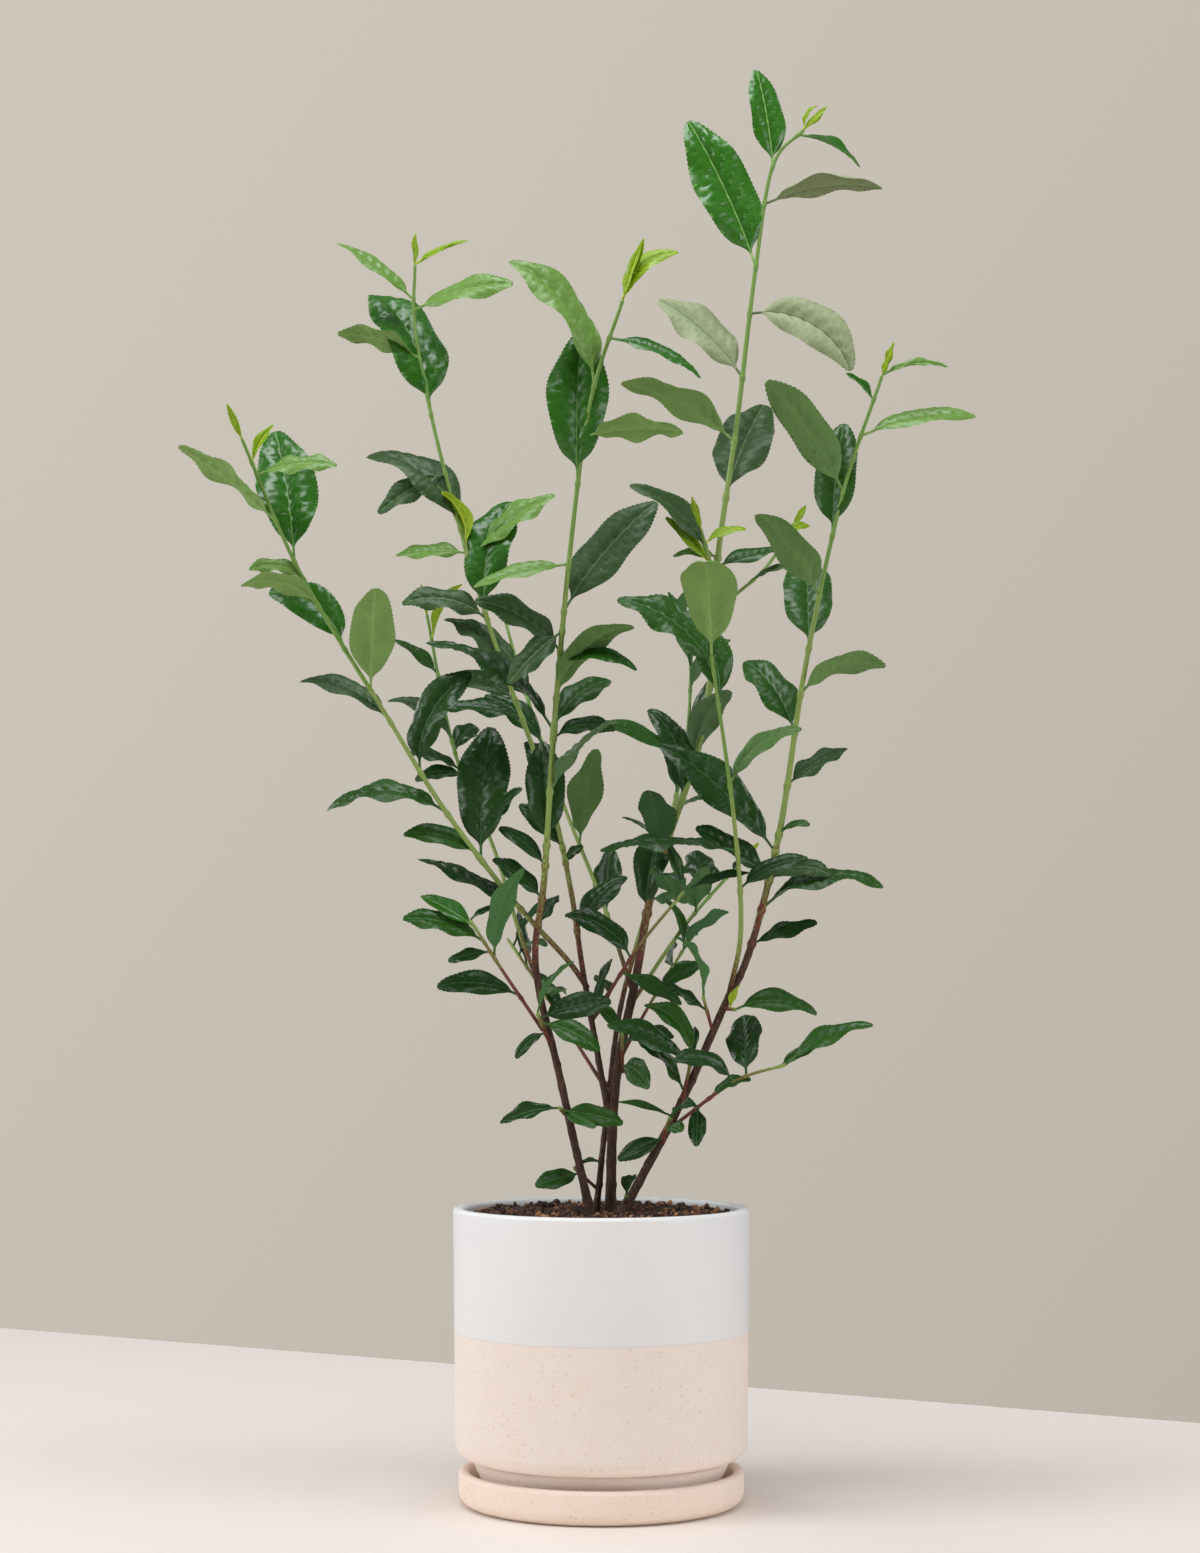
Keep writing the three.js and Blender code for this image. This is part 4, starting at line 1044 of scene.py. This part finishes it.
TWIG_SIDES = 12
TWIG_RING = 1.5                     # millimetres between rings
TWIG_START = 2                      # how far a side twig starts inside its stem
TWIG_END = 0.5                      # the last ring's radius, as a share
TWIG_SEED = 91
NODE_SWELL = {"share": 0.4, "length": 1.7}

# The share of a shoot's length at which each colour of its skin ends, for the leading
# shoots and for the thin low twigs: bark, red-brown, olive, green, yellow-green.
SKIN_ENDS = {"leader": (0.02, 0.07, 0.15, 0.6, 1.1), "twig": (0.1, 0.55, 0.85, 1.1, 1.2)}
THIN_AND_LOW = {"radius": 1.25, "height": 420}
SKIN_DITHER = 0.05


def twig_skin(name, colour, fleck, roughness):
    """The smooth waxy skin of new wood, with fine short streaks along it."""
    material, tree, place = new_material(name, {"Roughness": roughness, "IOR": 1.45})
    # Streaks 0.8 mm wide and 4 mm long.
    streaks = noise_texture(tree, along_stem(tree, place, 0.2), 0.0008)
    amount = mapped(tree, streaks, (0.45, 0.75), (0, 0.5))
    to_shader(tree, mixed(tree, amount, colour, fleck), "Base Color")
    add_relief(tree, streaks, 0.3, 0.0002)
    return material


def twig_body(curve, places, draw):
    """One leafy shoot's stem: tapering, swollen where its leaves stand, coloured by age."""
    stem, path = curve.stem, curve.fine
    thick, thin = stem.radii
    if not stem.wood:
        path = np.vstack([path[0] - TWIG_START * unit(path[1] - path[0]), path])
    path, along = resampled(path, TWIG_RING)
    share = along / along[-1]
    swell = np.zeros(len(path))
    for place in places:
        swell += np.exp(-((along - place * along[-1]) / NODE_SWELL["length"]) ** 2)
    radii = (thick + (thin - thick) * share) * (1 + NODE_SWELL["share"] * np.minimum(swell, 1))
    radii[-1] *= TWIG_END
    vertices, faces = tube(path, np.repeat(radii[:, None], TWIG_SIDES, axis=1))
    low = thick < THIN_AND_LOW["radius"] and stem.points[0][2] < THIN_AND_LOW["height"]
    # Each face's ring: first the faces of the wall, then the two caps.
    wall, cap = np.arange(len(path) - 1), TWIG_SIDES // 2 - 1
    ring = np.concatenate([np.repeat(wall, TWIG_SIDES), [0] * cap, [wall[-1]] * cap])
    jitter = np.array([varied(draw, SKIN_DITHER) for _ in faces])
    ends = SKIN_ENDS["twig" if low else "leader"]
    return vertices, faces, np.searchsorted(ends, share[ring] + jitter).clip(0, len(ends) - 1)


def build_twigs(look):
    """The leafy shoots' stems, brown at their feet and green at their tips."""
    shoots, nodes = curves_that_are(woody=False)
    draw, bodies = draws(TWIG_SEED), []
    for curve in shoots:
        places = [leaf.pose["place"] for leaf in grown()[1] if leaf.curve is curve]
        bodies.append(twig_body(curve, places, draw))
    skins = [
        twig_skin("new_bark_brown", look.bark[:], look.new_wood[:], 0.75),
        twig_skin("new_wood_red_brown", look.new_wood[:], look.bark[:], 0.55),
        twig_skin("twig_skin_olive", look.olive[:], look.new_wood[:], 0.5),
        twig_skin("twig_skin_green", look.green[:], look.olive[:], 0.45),
        twig_skin("twig_skin_yellow_green", look.tip[:], look.green[:], 0.45),
    ]
    new_piece("twigs", joined(bodies), skins, "foliage", nodes)


# ---- Leaves --------------------------------------------------------------------------

# Across the blade: margins, four lines a side, and the midrib's two sides.
ACROSS = np.array((-1, -0.8, -0.58, -0.36, -0.18, 0, 0, 0.18, 0.36, 0.58, 0.8, 1))
MARGINS, RIB_SIDES = (0, 11), (5, 6)
LEAF_SEED = 37
TWIST = {"most": 22, "from": 0.25}  # degrees, and the share of the blade where it starts
UNEVEN = {"share": 0.05, "waves": 1.2}
BLUNT = 0.25                        # a grown leaf's end is fuller than in the rule
STALK = {"radius": 0.75, "slimmest": 0.7, "full_at": 60, "rows": 3, "blend": 0.1,
         "power": 1.5, "flat": 0.35}
RIB = {"half": 0.38, "most": 0.12, "depth": 0.55, "tip": 0.35, "groove": 0.22, "ends": 0.2}
TOOTH = {"share": 0.0065, "most": 0.5, "forward": 0.35, "fewest": 8, "greatest": 34, "smooth": 3}
FOLD = {"young": 0.6, "grown": 0.24, "least": 0.55, "spread": 0.9}
FLATTEN = {"young": 0.25, "grown": 0.6}    # how much of its fold a blade loses at its margin
VEINS = {"pairs": 8, "short": 2, "short_at": 40, "lean": 1.7, "curve": 1.2, "stray": 0.4}
PUFF = {"along": 0.6, "middle": 0.75, "across": 0.7, "ends": 7, "young": 0.55}
MARGIN_WAVE = {"least": 0.012, "spread": 0.028, "waves": 1.2, "more": 1.3, "apart": 1.1,
               "foot": 5, "tip": 4}


class Tone(NamedTuple):
    """A tone of leaf: its top's roughness and how strongly it mirrors, and its colours."""
    name: str
    roughness: float
    specular: float
    top: str
    rib: str                        # of the midrib and the stalk
    under: str


# Old leaves low down are deep green under a hard gloss; where the wax is worn or dusty they
# are dull, and the grey and pale tones are greyer by painted sheen: the light that a dull
# leaf's wax gives back is painted into their colour. The newest are lime and soft.
TONES = {
    "d": Tone("deep", 0.33, 0.45, "#1C420E", "#3A6534", "#3F6A3A"),
    "k": Tone("dark", 0.36, 0.42, "#295613", "#4A7438", "#4F7C45"),
    "m": Tone("mid", 0.29, 0.55, "#2A650D", "#6A9A4A", "#5F8F48"),
    "b": Tone("bright", 0.25, 0.7, "#30720F", "#8FBA66", "#6F9F52"),
    # The grey tone's greyish top is painted sheen, not the leaf's own green.
    "g": Tone("grey", 0.45, 0.4, "#38552A", "#5E8050", "#5C7C50"),
    "o": Tone("olive", 0.48, 0.35, "#4C7032", "#6C8F4C", "#6A8E50"),
    "l": Tone("light", 0.36, 0.45, "#6C9440", "#86A85C", "#7C9E58"),
    # The pale tone's whitish grey-green top is painted sheen: light off a dull leaf, painted in.
    "p": Tone("pale", 0.55, 0.4, "#97A37A", "#66784E", "#869468"),
    "y": Tone("young", 0.4, 0.4, "#86A80C", "#C4D444", "#9DBB2C"),
}
LEAF_FACES = {"top": "tops", "rib": "midribs and stalks", "under": "undersides"}
TOP_NET = 0.15                      # how strongly the finest veins show
OTHER_FINISHES = {"rib": (0.5, 0.4, 0.1), "under": (0.62, 0.3, 0.5)}    # and gloss before it


def ease(blade, steepness):
    """1 along the blade, and falling to 0 at both its ends."""
    return np.minimum(1, steepness * blade * (1 - blade))


def blade_lift(pose, look, draw, blade, half, u):
    """How far a blade's surface stands off its flat: fold, quilting, wavy margin, groove."""
    length, age = pose["length"], "young" if pose["young"] else "grown"
    away, hand = np.abs(u), np.sign(u)

    # The blade is puffed up between side veins that lean toward the tip.
    pairs = VEINS["pairs"] - (0 if length > VEINS["short_at"] else VEINS["short"])
    phase = pairs * blade - VEINS["lean"] * away ** VEINS["curve"]
    phase = phase + VEINS["stray"] * next(draw) * hand
    puff = np.abs(np.sin(np.pi * phase)) ** PUFF["along"]
    puff *= np.sin(np.pi * away ** PUFF["middle"]) ** PUFF["across"] * ease(blade, PUFF["ends"])
    quilting = look.quilting * length * puff * (PUFF["young"] if pose["young"] else 1)

    waves = MARGIN_WAVE["waves"] + MARGIN_WAVE["more"] * next(draw)
    start = 2 * np.pi * next(draw)
    height = (MARGIN_WAVE["least"] + MARGIN_WAVE["spread"] * next(draw)) * length * away ** 3
    wave = height * np.sin(2 * np.pi * waves * blade + start + MARGIN_WAVE["apart"] * hand)
    wave *= np.minimum(1, MARGIN_WAVE["foot"] * blade)
    wave *= np.minimum(1, MARGIN_WAVE["tip"] * (1 - blade))

    fold = FOLD[age]
    if not pose["young"]:
        fold *= FOLD["least"] + FOLD["spread"] * next(draw)
    lift = fold * away * half * (1 - FLATTEN[age] * away ** 2) + quilting + wave
    lift[:, RIB_SIDES] -= RIB["groove"] * np.minimum(1, 4 * blade * (1 - blade) + RIB["ends"])
    return lift


def leaf_shape(pose, look, draw):
    """One leaf as a closed thin blade on its stalk: vertices, faces, kinds, crisp vertices."""
    length, stalk_rows = pose["length"], STALK["rows"]
    teeth = round(length * MM / look.tooth_spacing)
    teeth = min(max(teeth, TOOTH["fewest"]), TOOTH["greatest"])
    stalk = PETIOLE_SHARE * np.arange(stalk_rows) / stalk_rows
    rows_of_blade = PETIOLE_SHARE + (1 - PETIOLE_SHARE) * np.arange(2 * teeth + 1) / (2 * teeth)
    shares = np.concatenate([stalk, rows_of_blade])
    blade = blade_share(shares)[:, None]
    points, side, up = midrib(pose, shares)
    along = np.cross(up, side)

    # A leaf twists a little toward its tip.
    twist = np.radians(varied(draw, TWIST["most"])) * np.maximum(blade - TWIST["from"], 0)
    side, up = np.cos(twist) * side + np.sin(twist) * up, np.cos(twist) * up - np.sin(twist) * side

    # No leaf's outline is quite even, a bud is slim, and a grown leaf's end is blunt.
    slow = 2 * np.pi * (next(draw) + (UNEVEN["waves"] + next(draw)) * blade)
    half = half_width(pose, shares)[:, None] * (1 + UNEVEN["share"] * np.sin(slow))
    if pose["young"] and pose["place"] == 1:
        half *= BUD["slim"]
    if not pose["young"]:
        swell = np.maximum(np.sin(np.pi * blade ** OUTLINE["skew"]), 0.001)
        half *= swell ** (-BLUNT * blade)

    rib = np.minimum(RIB["most"], RIB["half"] / np.maximum(half, 0.1))
    u = np.repeat(ACROSS[None], len(shares), axis=0)
    u[:, RIB_SIDES] = np.hstack([-rib, rib])
    lift = blade_lift(pose, look, draw, blade, half, u)

    # The round stalk flattens into the blade.
    stalkness = np.clip(1 - blade / STALK["blend"], 0, 1) ** STALK["power"]
    slimmest = STALK["slimmest"]
    radius = STALK["radius"] * (slimmest + (1 - slimmest) * min(1, length / STALK["full_at"]))
    angle = np.pi / 2 * ACROSS
    round_spread = radius * np.sign(u) * np.maximum(np.abs(np.sin(angle)), STALK["flat"])
    spread = stalkness * round_spread + (1 - stalkness) * half * u
    drop = RIB["depth"] * (RIB["tip"] + (1 - RIB["tip"]) * (1 - blade)) * (np.abs(u) <= rib + 1e-6)
    bulge = stalkness * radius * np.cos(angle)
    top = (1 - stalkness) * lift + bulge
    below = (1 - stalkness) * (lift - look.leaf_thickness / MM - drop) - bulge

    # Teeth: every second row of a margin stands out and forward.
    forward = np.zeros_like(spread)
    row = np.arange(len(shares)) - stalk_rows
    toothed = (row > TOOTH["smooth"]) & (row % 2 == 1)
    for column in MARGINS:
        spread[toothed, column] += min(TOOTH["most"], TOOTH["share"] * length) * ACROSS[column]
        forward[toothed, column] = TOOTH["forward"] * length * (1 - PETIOLE_SHARE) / (2 * teeth)
    flat = points[:, None] + spread[..., None] * side[:, None]
    flat += forward[..., None] * along[:, None]
    top_points, under_points = (flat + rise[..., None] * up[:, None] for rise in (top, below))

    # The underside shares the outline's vertices with the top.
    rows, columns = spread.shape
    top_index = np.arange(rows * columns).reshape(rows, columns)
    inner = (slice(1, -1), slice(1, -1))
    under_index = top_index.copy()
    under_index[inner] = top_index.size + np.arange(top_index[inner].size).reshape(rows - 2, -1)
    vertices = np.concatenate([top_points.reshape(-1, 3), under_points[inner].reshape(-1, 3)])
    faces = np.concatenate([quads(top_index), quads(under_index)[:, ::-1]])
    on_rib = np.zeros((rows - 1, columns - 1), bool)
    on_rib[:, RIB_SIDES[0]] = True
    on_rib[:stalk_rows] = True
    kinds = np.concatenate([np.where(on_rib, 1, 0).ravel(), np.where(on_rib, 1, 2).ravel()])
    crisp = np.zeros(len(vertices), bool)
    crisp[top_index[stalk_rows + 1:, MARGINS].ravel()] = True
    return vertices, faces, kinds, crisp


def leaf_face(name, colour, roughness, specular, net):
    """Leathery tea leaf: a waxy skin over a fine net of veins, in one plain colour."""
    material, tree, place = new_material(name, {
        "Base Color": colour, "IOR": 1.45, "Specular IOR Level": specular})
    # The net of smallest veins has meshes of about 2.5 mm.
    cells = cell_texture(tree, place, 0.0025, feature="DISTANCE_TO_EDGE")
    add_relief(tree, cells["Distance"], net, 0.0004)
    # Wax and dust make the gloss uneven over about a centimetre.
    clouds = noise_texture(tree, place, 0.01, Detail=3.0)
    gloss = mapped(tree, clouds, (0.3, 0.7), (roughness - 0.07, roughness + 0.1))
    to_shader(tree, gloss, "Roughness")
    return material


def leaf_materials(look):
    """For each tone the faces of a leaf: top, midrib with stalk, and underside."""
    materials = []
    for tone in TONES.values():
        finishes = {"top": (tone.roughness, tone.specular, TOP_NET), **OTHER_FINISHES}
        for face, finish in finishes.items():
            colour = getattr(look, f"{tone.name}_{face}")[:]
            materials.append(leaf_face(f"leaf_{tone.name}_{face}", colour, *finish))
    return materials


# The crown's leaves in four joined pieces, by the shoots that carry them.
LEAF_GROUPS = {
    "leaves_tall": ("shoot_tallest", "shoot_centre", "shoot_rear", "shoot_rear_right"),
    "leaves_left": ("shoot_back_left", "shoot_far_left", "shoot_left_rear", "shoot_inner_left"),
    "leaves_right": ("shoot_right", "shoot_right_front", "twig_right", "twig_right_far"),
}
LOW_LEAVES = "leaves_low"


def build_leaves(look):
    """Every leaf and closed bud, joined into four pieces."""
    leaves = [(leaf.curve.node, leaf.pose) for leaf in grown()[1]]
    for curve in curves_that_are(woody=False)[0]:
        if curve.stem.bud:
            # A closed bud is two young leaves that face each other.
            pose = bud_pose(curve)
            leaves += [(curve.node, pose), (curve.node, dict(pose, roll=pose["roll"] + 180))]
    draw = draws(LEAF_SEED)
    bodies = {name: [] for name in (*LEAF_GROUPS, LOW_LEAVES)}
    nodes = {name: set() for name in bodies}
    for node, pose in leaves:
        group = next((name for name, own in LEAF_GROUPS.items() if node in own), LOW_LEAVES)
        vertices, faces, kinds, crisp = leaf_shape(pose, look, draw)
        kinds += len(LEAF_FACES) * list(TONES).index(pose["tone"])
        bodies[group].append((vertices, faces, kinds, crisp))
        nodes[group].add(node)
    materials = leaf_materials(look)
    for name, parts in bodies.items():
        new_piece(name, joined(parts), materials, "foliage", sorted(nodes[name]))


# ---- Stage ---------------------------------------------------------------------------

CAMERA = {"place": (-0.00074, -1.61, 0.284), "tilt": 4.4, "lens": 65.48, "sensor": 36}
TABLE_EDGE = ((-0.512, 0.827), (0.397, 0.292))    # two points on the table's back edge, metres
TABLE_REACH = 6
# The backdrop's gradient is painted light: lighter toward the upper left, painted shade toward the
# lower right.
BACKDROP = {"toward": (-0.8, 0, 0.6), "range": (-0.25, 0.35)}    # where it gets lighter

# Soft boxes around the bush: name, place in metres, and power as a share of the key light's.
LIGHTS_AIM = (0, 0, 0.4)            # the middle of the bush
SOFT_BOXES = (
    ("key_left", (-2.2, -0.7, 1.3), 1),
    ("fill_right_front", (2.0, -1.1, 0.9), 0.62),
    ("top", (-0.1, -0.4, 2.4), 1.25),
    ("back_left", (-1.6, 1.8, 1.4), 0.4),
    ("back_right", (1.6, 1.8, 1.4), 0.2),
)


def painted_board(colour):
    """A painted board: one flat matt colour with a very fine tooth."""
    material, tree, place = new_material("pale_painted_board", {
        "Base Color": colour, "Roughness": 0.7})
    add_relief(tree, noise_texture(tree, place, 0.002), 0.05, 0.0002)
    return material


def build_table(look):
    """The pale table top: it ends at a straight back edge and reaches far to the front."""
    left, right = (Vector((*point, 0)) for point in TABLE_EDGE)
    along = (right - left).normalized()
    front = Vector((along.y, -along.x, 0))
    corners = [left - along * TABLE_REACH, right + along * TABLE_REACH]
    corners += [corners[1] + front * TABLE_REACH, corners[0] + front * TABLE_REACH]
    body = (np.array(corners) / MM, [(0, 3, 2, 1)])
    new_piece("table_top", body, [painted_board(look.table[:])])


def build_backdrop(look):
    """A plain colour all round, a little lighter toward the upper left: painted light, with
    painted shade toward the lower right.
    """
    world = bpy.data.worlds.new("backdrop")
    bpy.context.scene.world = world
    world.use_nodes = True
    tree = world.node_tree
    # Only the backdrop is coloured: the light that it gives the bush is neutral and low.
    seen = add_node(tree, "ShaderNodeLightPath").outputs["Is Camera Ray"]
    way = add_node(tree, "ShaderNodeTexCoord").outputs["Generated"]
    lean = add_node(tree, "ShaderNodeVectorMath", {"operation": "DOT_PRODUCT"}, {
        0: way, 1: BACKDROP["toward"]})
    share = mapped(tree, lean.outputs["Value"], BACKDROP["range"], (0, 1))
    # Painted light on the backdrop: from the painted shade at the lower right to the lit colour at
    # the upper left.
    backdrop = mixed(tree, share, look.backdrop_shade[:], look.backdrop[:])
    light = mixed(tree, seen, [*[look.fill_light] * 3, 1], backdrop)
    tree.links.new(light, tree.nodes["Background"].inputs["Color"])


def add_light(name, place, size, watts, colour):
    """A square soft light aimed at the middle of the bush."""
    data = bpy.data.lights.new(name, "AREA")
    data.size, data.energy, data.color = size, watts, colour[:3]
    light = bpy.data.objects.new(name, data)
    light.location = place
    light.rotation_euler = (Vector(LIGHTS_AIM) - Vector(place)).to_track_quat("-Z", "Y").to_euler()
    light.visible_camera = False
    bpy.context.scene.collection.objects.link(light)


def build_camera():
    """A long lens a little above the pot's rim, looking slightly up."""
    data = bpy.data.cameras.new("camera")
    data.sensor_fit, data.sensor_height, data.lens = "VERTICAL", CAMERA["sensor"], CAMERA["lens"]
    camera = bpy.data.objects.new("camera", data)
    camera.location = CAMERA["place"]
    camera.rotation_euler = (math.radians(90 + CAMERA["tilt"]), 0, 0)
    bpy.context.scene.collection.objects.link(camera)
    bpy.context.scene.camera = camera


# ---- Add-on --------------------------------------------------------------------------

def colour_setting(name, code, description):
    """A colour that the user can change."""
    return bpy.props.FloatVectorProperty(
        name=name, description=description, subtype="COLOR", size=4, min=0, max=1,
        default=linear(code))


def small_length(name, default, description):
    """A length in metres that the user can change."""
    return bpy.props.FloatProperty(
        name=name, description=description, unit="LENGTH", default=default,
        min=0.0001, precision=4)


class TeaBushPotterySettings(bpy.types.PropertyGroup):
    clay: colour_setting("Pot clay", "#FAF0E9", "The bare clay of the pot")
    saucer: colour_setting("Saucer clay", "#FFF0E4", "The bare clay of the saucer")
    speck: colour_setting("Specks", "#CFA98D", "The fine dark specks in the clay")
    glaze: colour_setting("Glaze", "#F1F1F0", "The white glaze on the upper half")
    speck_spacing: small_length("Speck spacing", 0.0026, "From one speck in the clay to the next")


class TeaBushSoilSettings(bpy.types.PropertyGroup):
    peat: colour_setting("Peat", "#3A281F", "The darkest soil")
    loam: colour_setting("Loam", "#6B4733", "The middle soil")
    chips: colour_setting("Bark chips", "#A0714C", "The lightest, reddish crumbs")
    crumbs: bpy.props.IntProperty(
        name="Crumbs", description="How many loose crumbs lie on the soil", default=1100, min=1)
    crumb_size: small_length("Crumb size", 0.0052, "The largest crumb's length")


class TeaBushPlantSettings(bpy.types.PropertyGroup):
    bark: colour_setting("Bark", "#543B30", "The woody stems")
    lenticels: colour_setting("Bark spots", "#8C7060", "The pale corky spots on the bark")
    new_wood: colour_setting("New wood", "#7A3F2C", "The red-brown skin of last year's twigs")
    olive: colour_setting("Olive skin", "#7E7A3E", "Where a shoot turns from brown to green")
    green: colour_setting("Green skin", "#8AA552", "The middle of a shoot")
    tip: colour_setting("Tip skin", "#6F9440", "The yellow-green end of a shoot")
    leaf_thickness: small_length("Leaf thickness", 0.0004, "How thick a leaf's blade is")
    tooth_spacing: small_length("Tooth spacing", 0.0027, "From one leaf tooth to the next")
    quilting: bpy.props.FloatProperty(
        name="Quilting", subtype="FACTOR", default=0.03, min=0, max=0.05,
        description="How high a leaf is puffed between its veins, over its length")


# Each tone of leaf has a colour for each of its faces.
for _tone in TONES.values():
    for _face, _part in LEAF_FACES.items():
        TeaBushPlantSettings.__annotations__[f"{_tone.name}_{_face}"] = colour_setting(
            f"{_tone.name.capitalize()} leaves: {_part}", getattr(_tone, _face),
            f"The {_part} of the {_tone.name} leaves")


class TeaBushStageSettings(bpy.types.PropertyGroup):
    table: colour_setting("Table", "#EAE0D8", "The table top")
    backdrop: colour_setting("Backdrop", "#CEC7BB", "The backdrop at the upper left")
    backdrop_shade: colour_setting("Backdrop shade", "#BCB4A8", "The backdrop at the lower right")
    fill_light: bpy.props.FloatProperty(
        name="Fill light", description="Strength of the light from all round", default=0.2, min=0)
    key_light: bpy.props.FloatProperty(
        name="Key light", description="Power of the soft light at the upper left",
        subtype="POWER", default=28, min=0)
    light: colour_setting("Light", "#FAFCFF", "The colour of the soft lights")
    box_size: small_length("Soft box size", 1.2, "Width of each soft light")


class TeaBushOperator:
    bl_options = {"REGISTER", "UNDO"}


class TEABUSH_OT_pottery(TeaBushOperator, bpy.types.Operator):
    """Add the saucer, the pot and its glaze"""
    bl_idname = "teabush.add_pottery"
    bl_label = "Pot and saucer"

    def execute(self, context):
        build_pottery(context.scene.teabush_pottery)
        return {"FINISHED"}


class TEABUSH_OT_soil(TeaBushOperator, bpy.types.Operator):
    """Add the soil and its crumbs"""
    bl_idname = "teabush.add_soil"
    bl_label = "Soil"

    def execute(self, context):
        build_soil(context.scene.teabush_soil)
        return {"FINISHED"}


class TEABUSH_OT_stems(TeaBushOperator, bpy.types.Operator):
    """Add the woody stems"""
    bl_idname = "teabush.add_stems"
    bl_label = "Woody stems"

    def execute(self, context):
        build_stems(context.scene.teabush_plant)
        return {"FINISHED"}


class TEABUSH_OT_twigs(TeaBushOperator, bpy.types.Operator):
    """Add the leafy shoots' stems and twigs"""
    bl_idname = "teabush.add_twigs"
    bl_label = "Twigs"

    def execute(self, context):
        build_twigs(context.scene.teabush_plant)
        return {"FINISHED"}


class TEABUSH_OT_leaves(TeaBushOperator, bpy.types.Operator):
    """Add the leaves and buds"""
    bl_idname = "teabush.add_leaves"
    bl_label = "Leaves and buds"

    def execute(self, context):
        build_leaves(context.scene.teabush_plant)
        return {"FINISHED"}


class TEABUSH_OT_stage(TeaBushOperator, bpy.types.Operator):
    """Add the table, the backdrop, the lights and the camera"""
    bl_idname = "teabush.add_stage"
    bl_label = "Stage"

    def execute(self, context):
        look = context.scene.teabush_stage
        build_table(look)
        build_backdrop(look)
        for name, place, share in SOFT_BOXES:
            add_light(name, place, look.box_size, look.key_light * share, look.light[:])
        build_camera()
        context.scene.view_settings.view_transform = "Standard"
        return {"FINISHED"}


SETTINGS = {
    "teabush_pottery": TeaBushPotterySettings,
    "teabush_soil": TeaBushSoilSettings,
    "teabush_plant": TeaBushPlantSettings,
    "teabush_stage": TeaBushStageSettings,
}
STEPS = (TEABUSH_OT_pottery, TEABUSH_OT_soil, TEABUSH_OT_stems, TEABUSH_OT_twigs,
         TEABUSH_OT_leaves, TEABUSH_OT_stage)


class TEABUSH_PT_panel(bpy.types.Panel):
    """The steps of the bush and the sizes and colours that can be changed"""
    bl_idname = "TEABUSH_PT_panel"
    bl_label = "Tea bush"
    bl_space_type = "VIEW_3D"
    bl_region_type = "UI"
    bl_category = "Tea bush"

    def draw(self, context):
        for step in STEPS:
            self.layout.operator(step.bl_idname)
        for name, group in SETTINGS.items():
            box = self.layout.box()
            for key in group.__annotations__:
                box.prop(getattr(context.scene, name), key)


CLASSES = (*SETTINGS.values(), *STEPS, TEABUSH_PT_panel)


def register():
    """Register the classes, and give the scene its settings."""
    for cls in CLASSES:
        bpy.utils.register_class(cls)
    for name, group in SETTINGS.items():
        setattr(bpy.types.Scene, name, bpy.props.PointerProperty(type=group))


def unregister():
    """Undo register."""
    for name in SETTINGS:
        delattr(bpy.types.Scene, name)
    for cls in reversed(CLASSES):
        bpy.utils.unregister_class(cls)


def main():
    """Build every piece and the stage."""
    register()
    bpy.ops.teabush.add_pottery()
    bpy.ops.teabush.add_soil()
    bpy.ops.teabush.add_stems()
    bpy.ops.teabush.add_twigs()
    bpy.ops.teabush.add_leaves()
    bpy.ops.teabush.add_stage()


if __name__ == "__main__":
    main()
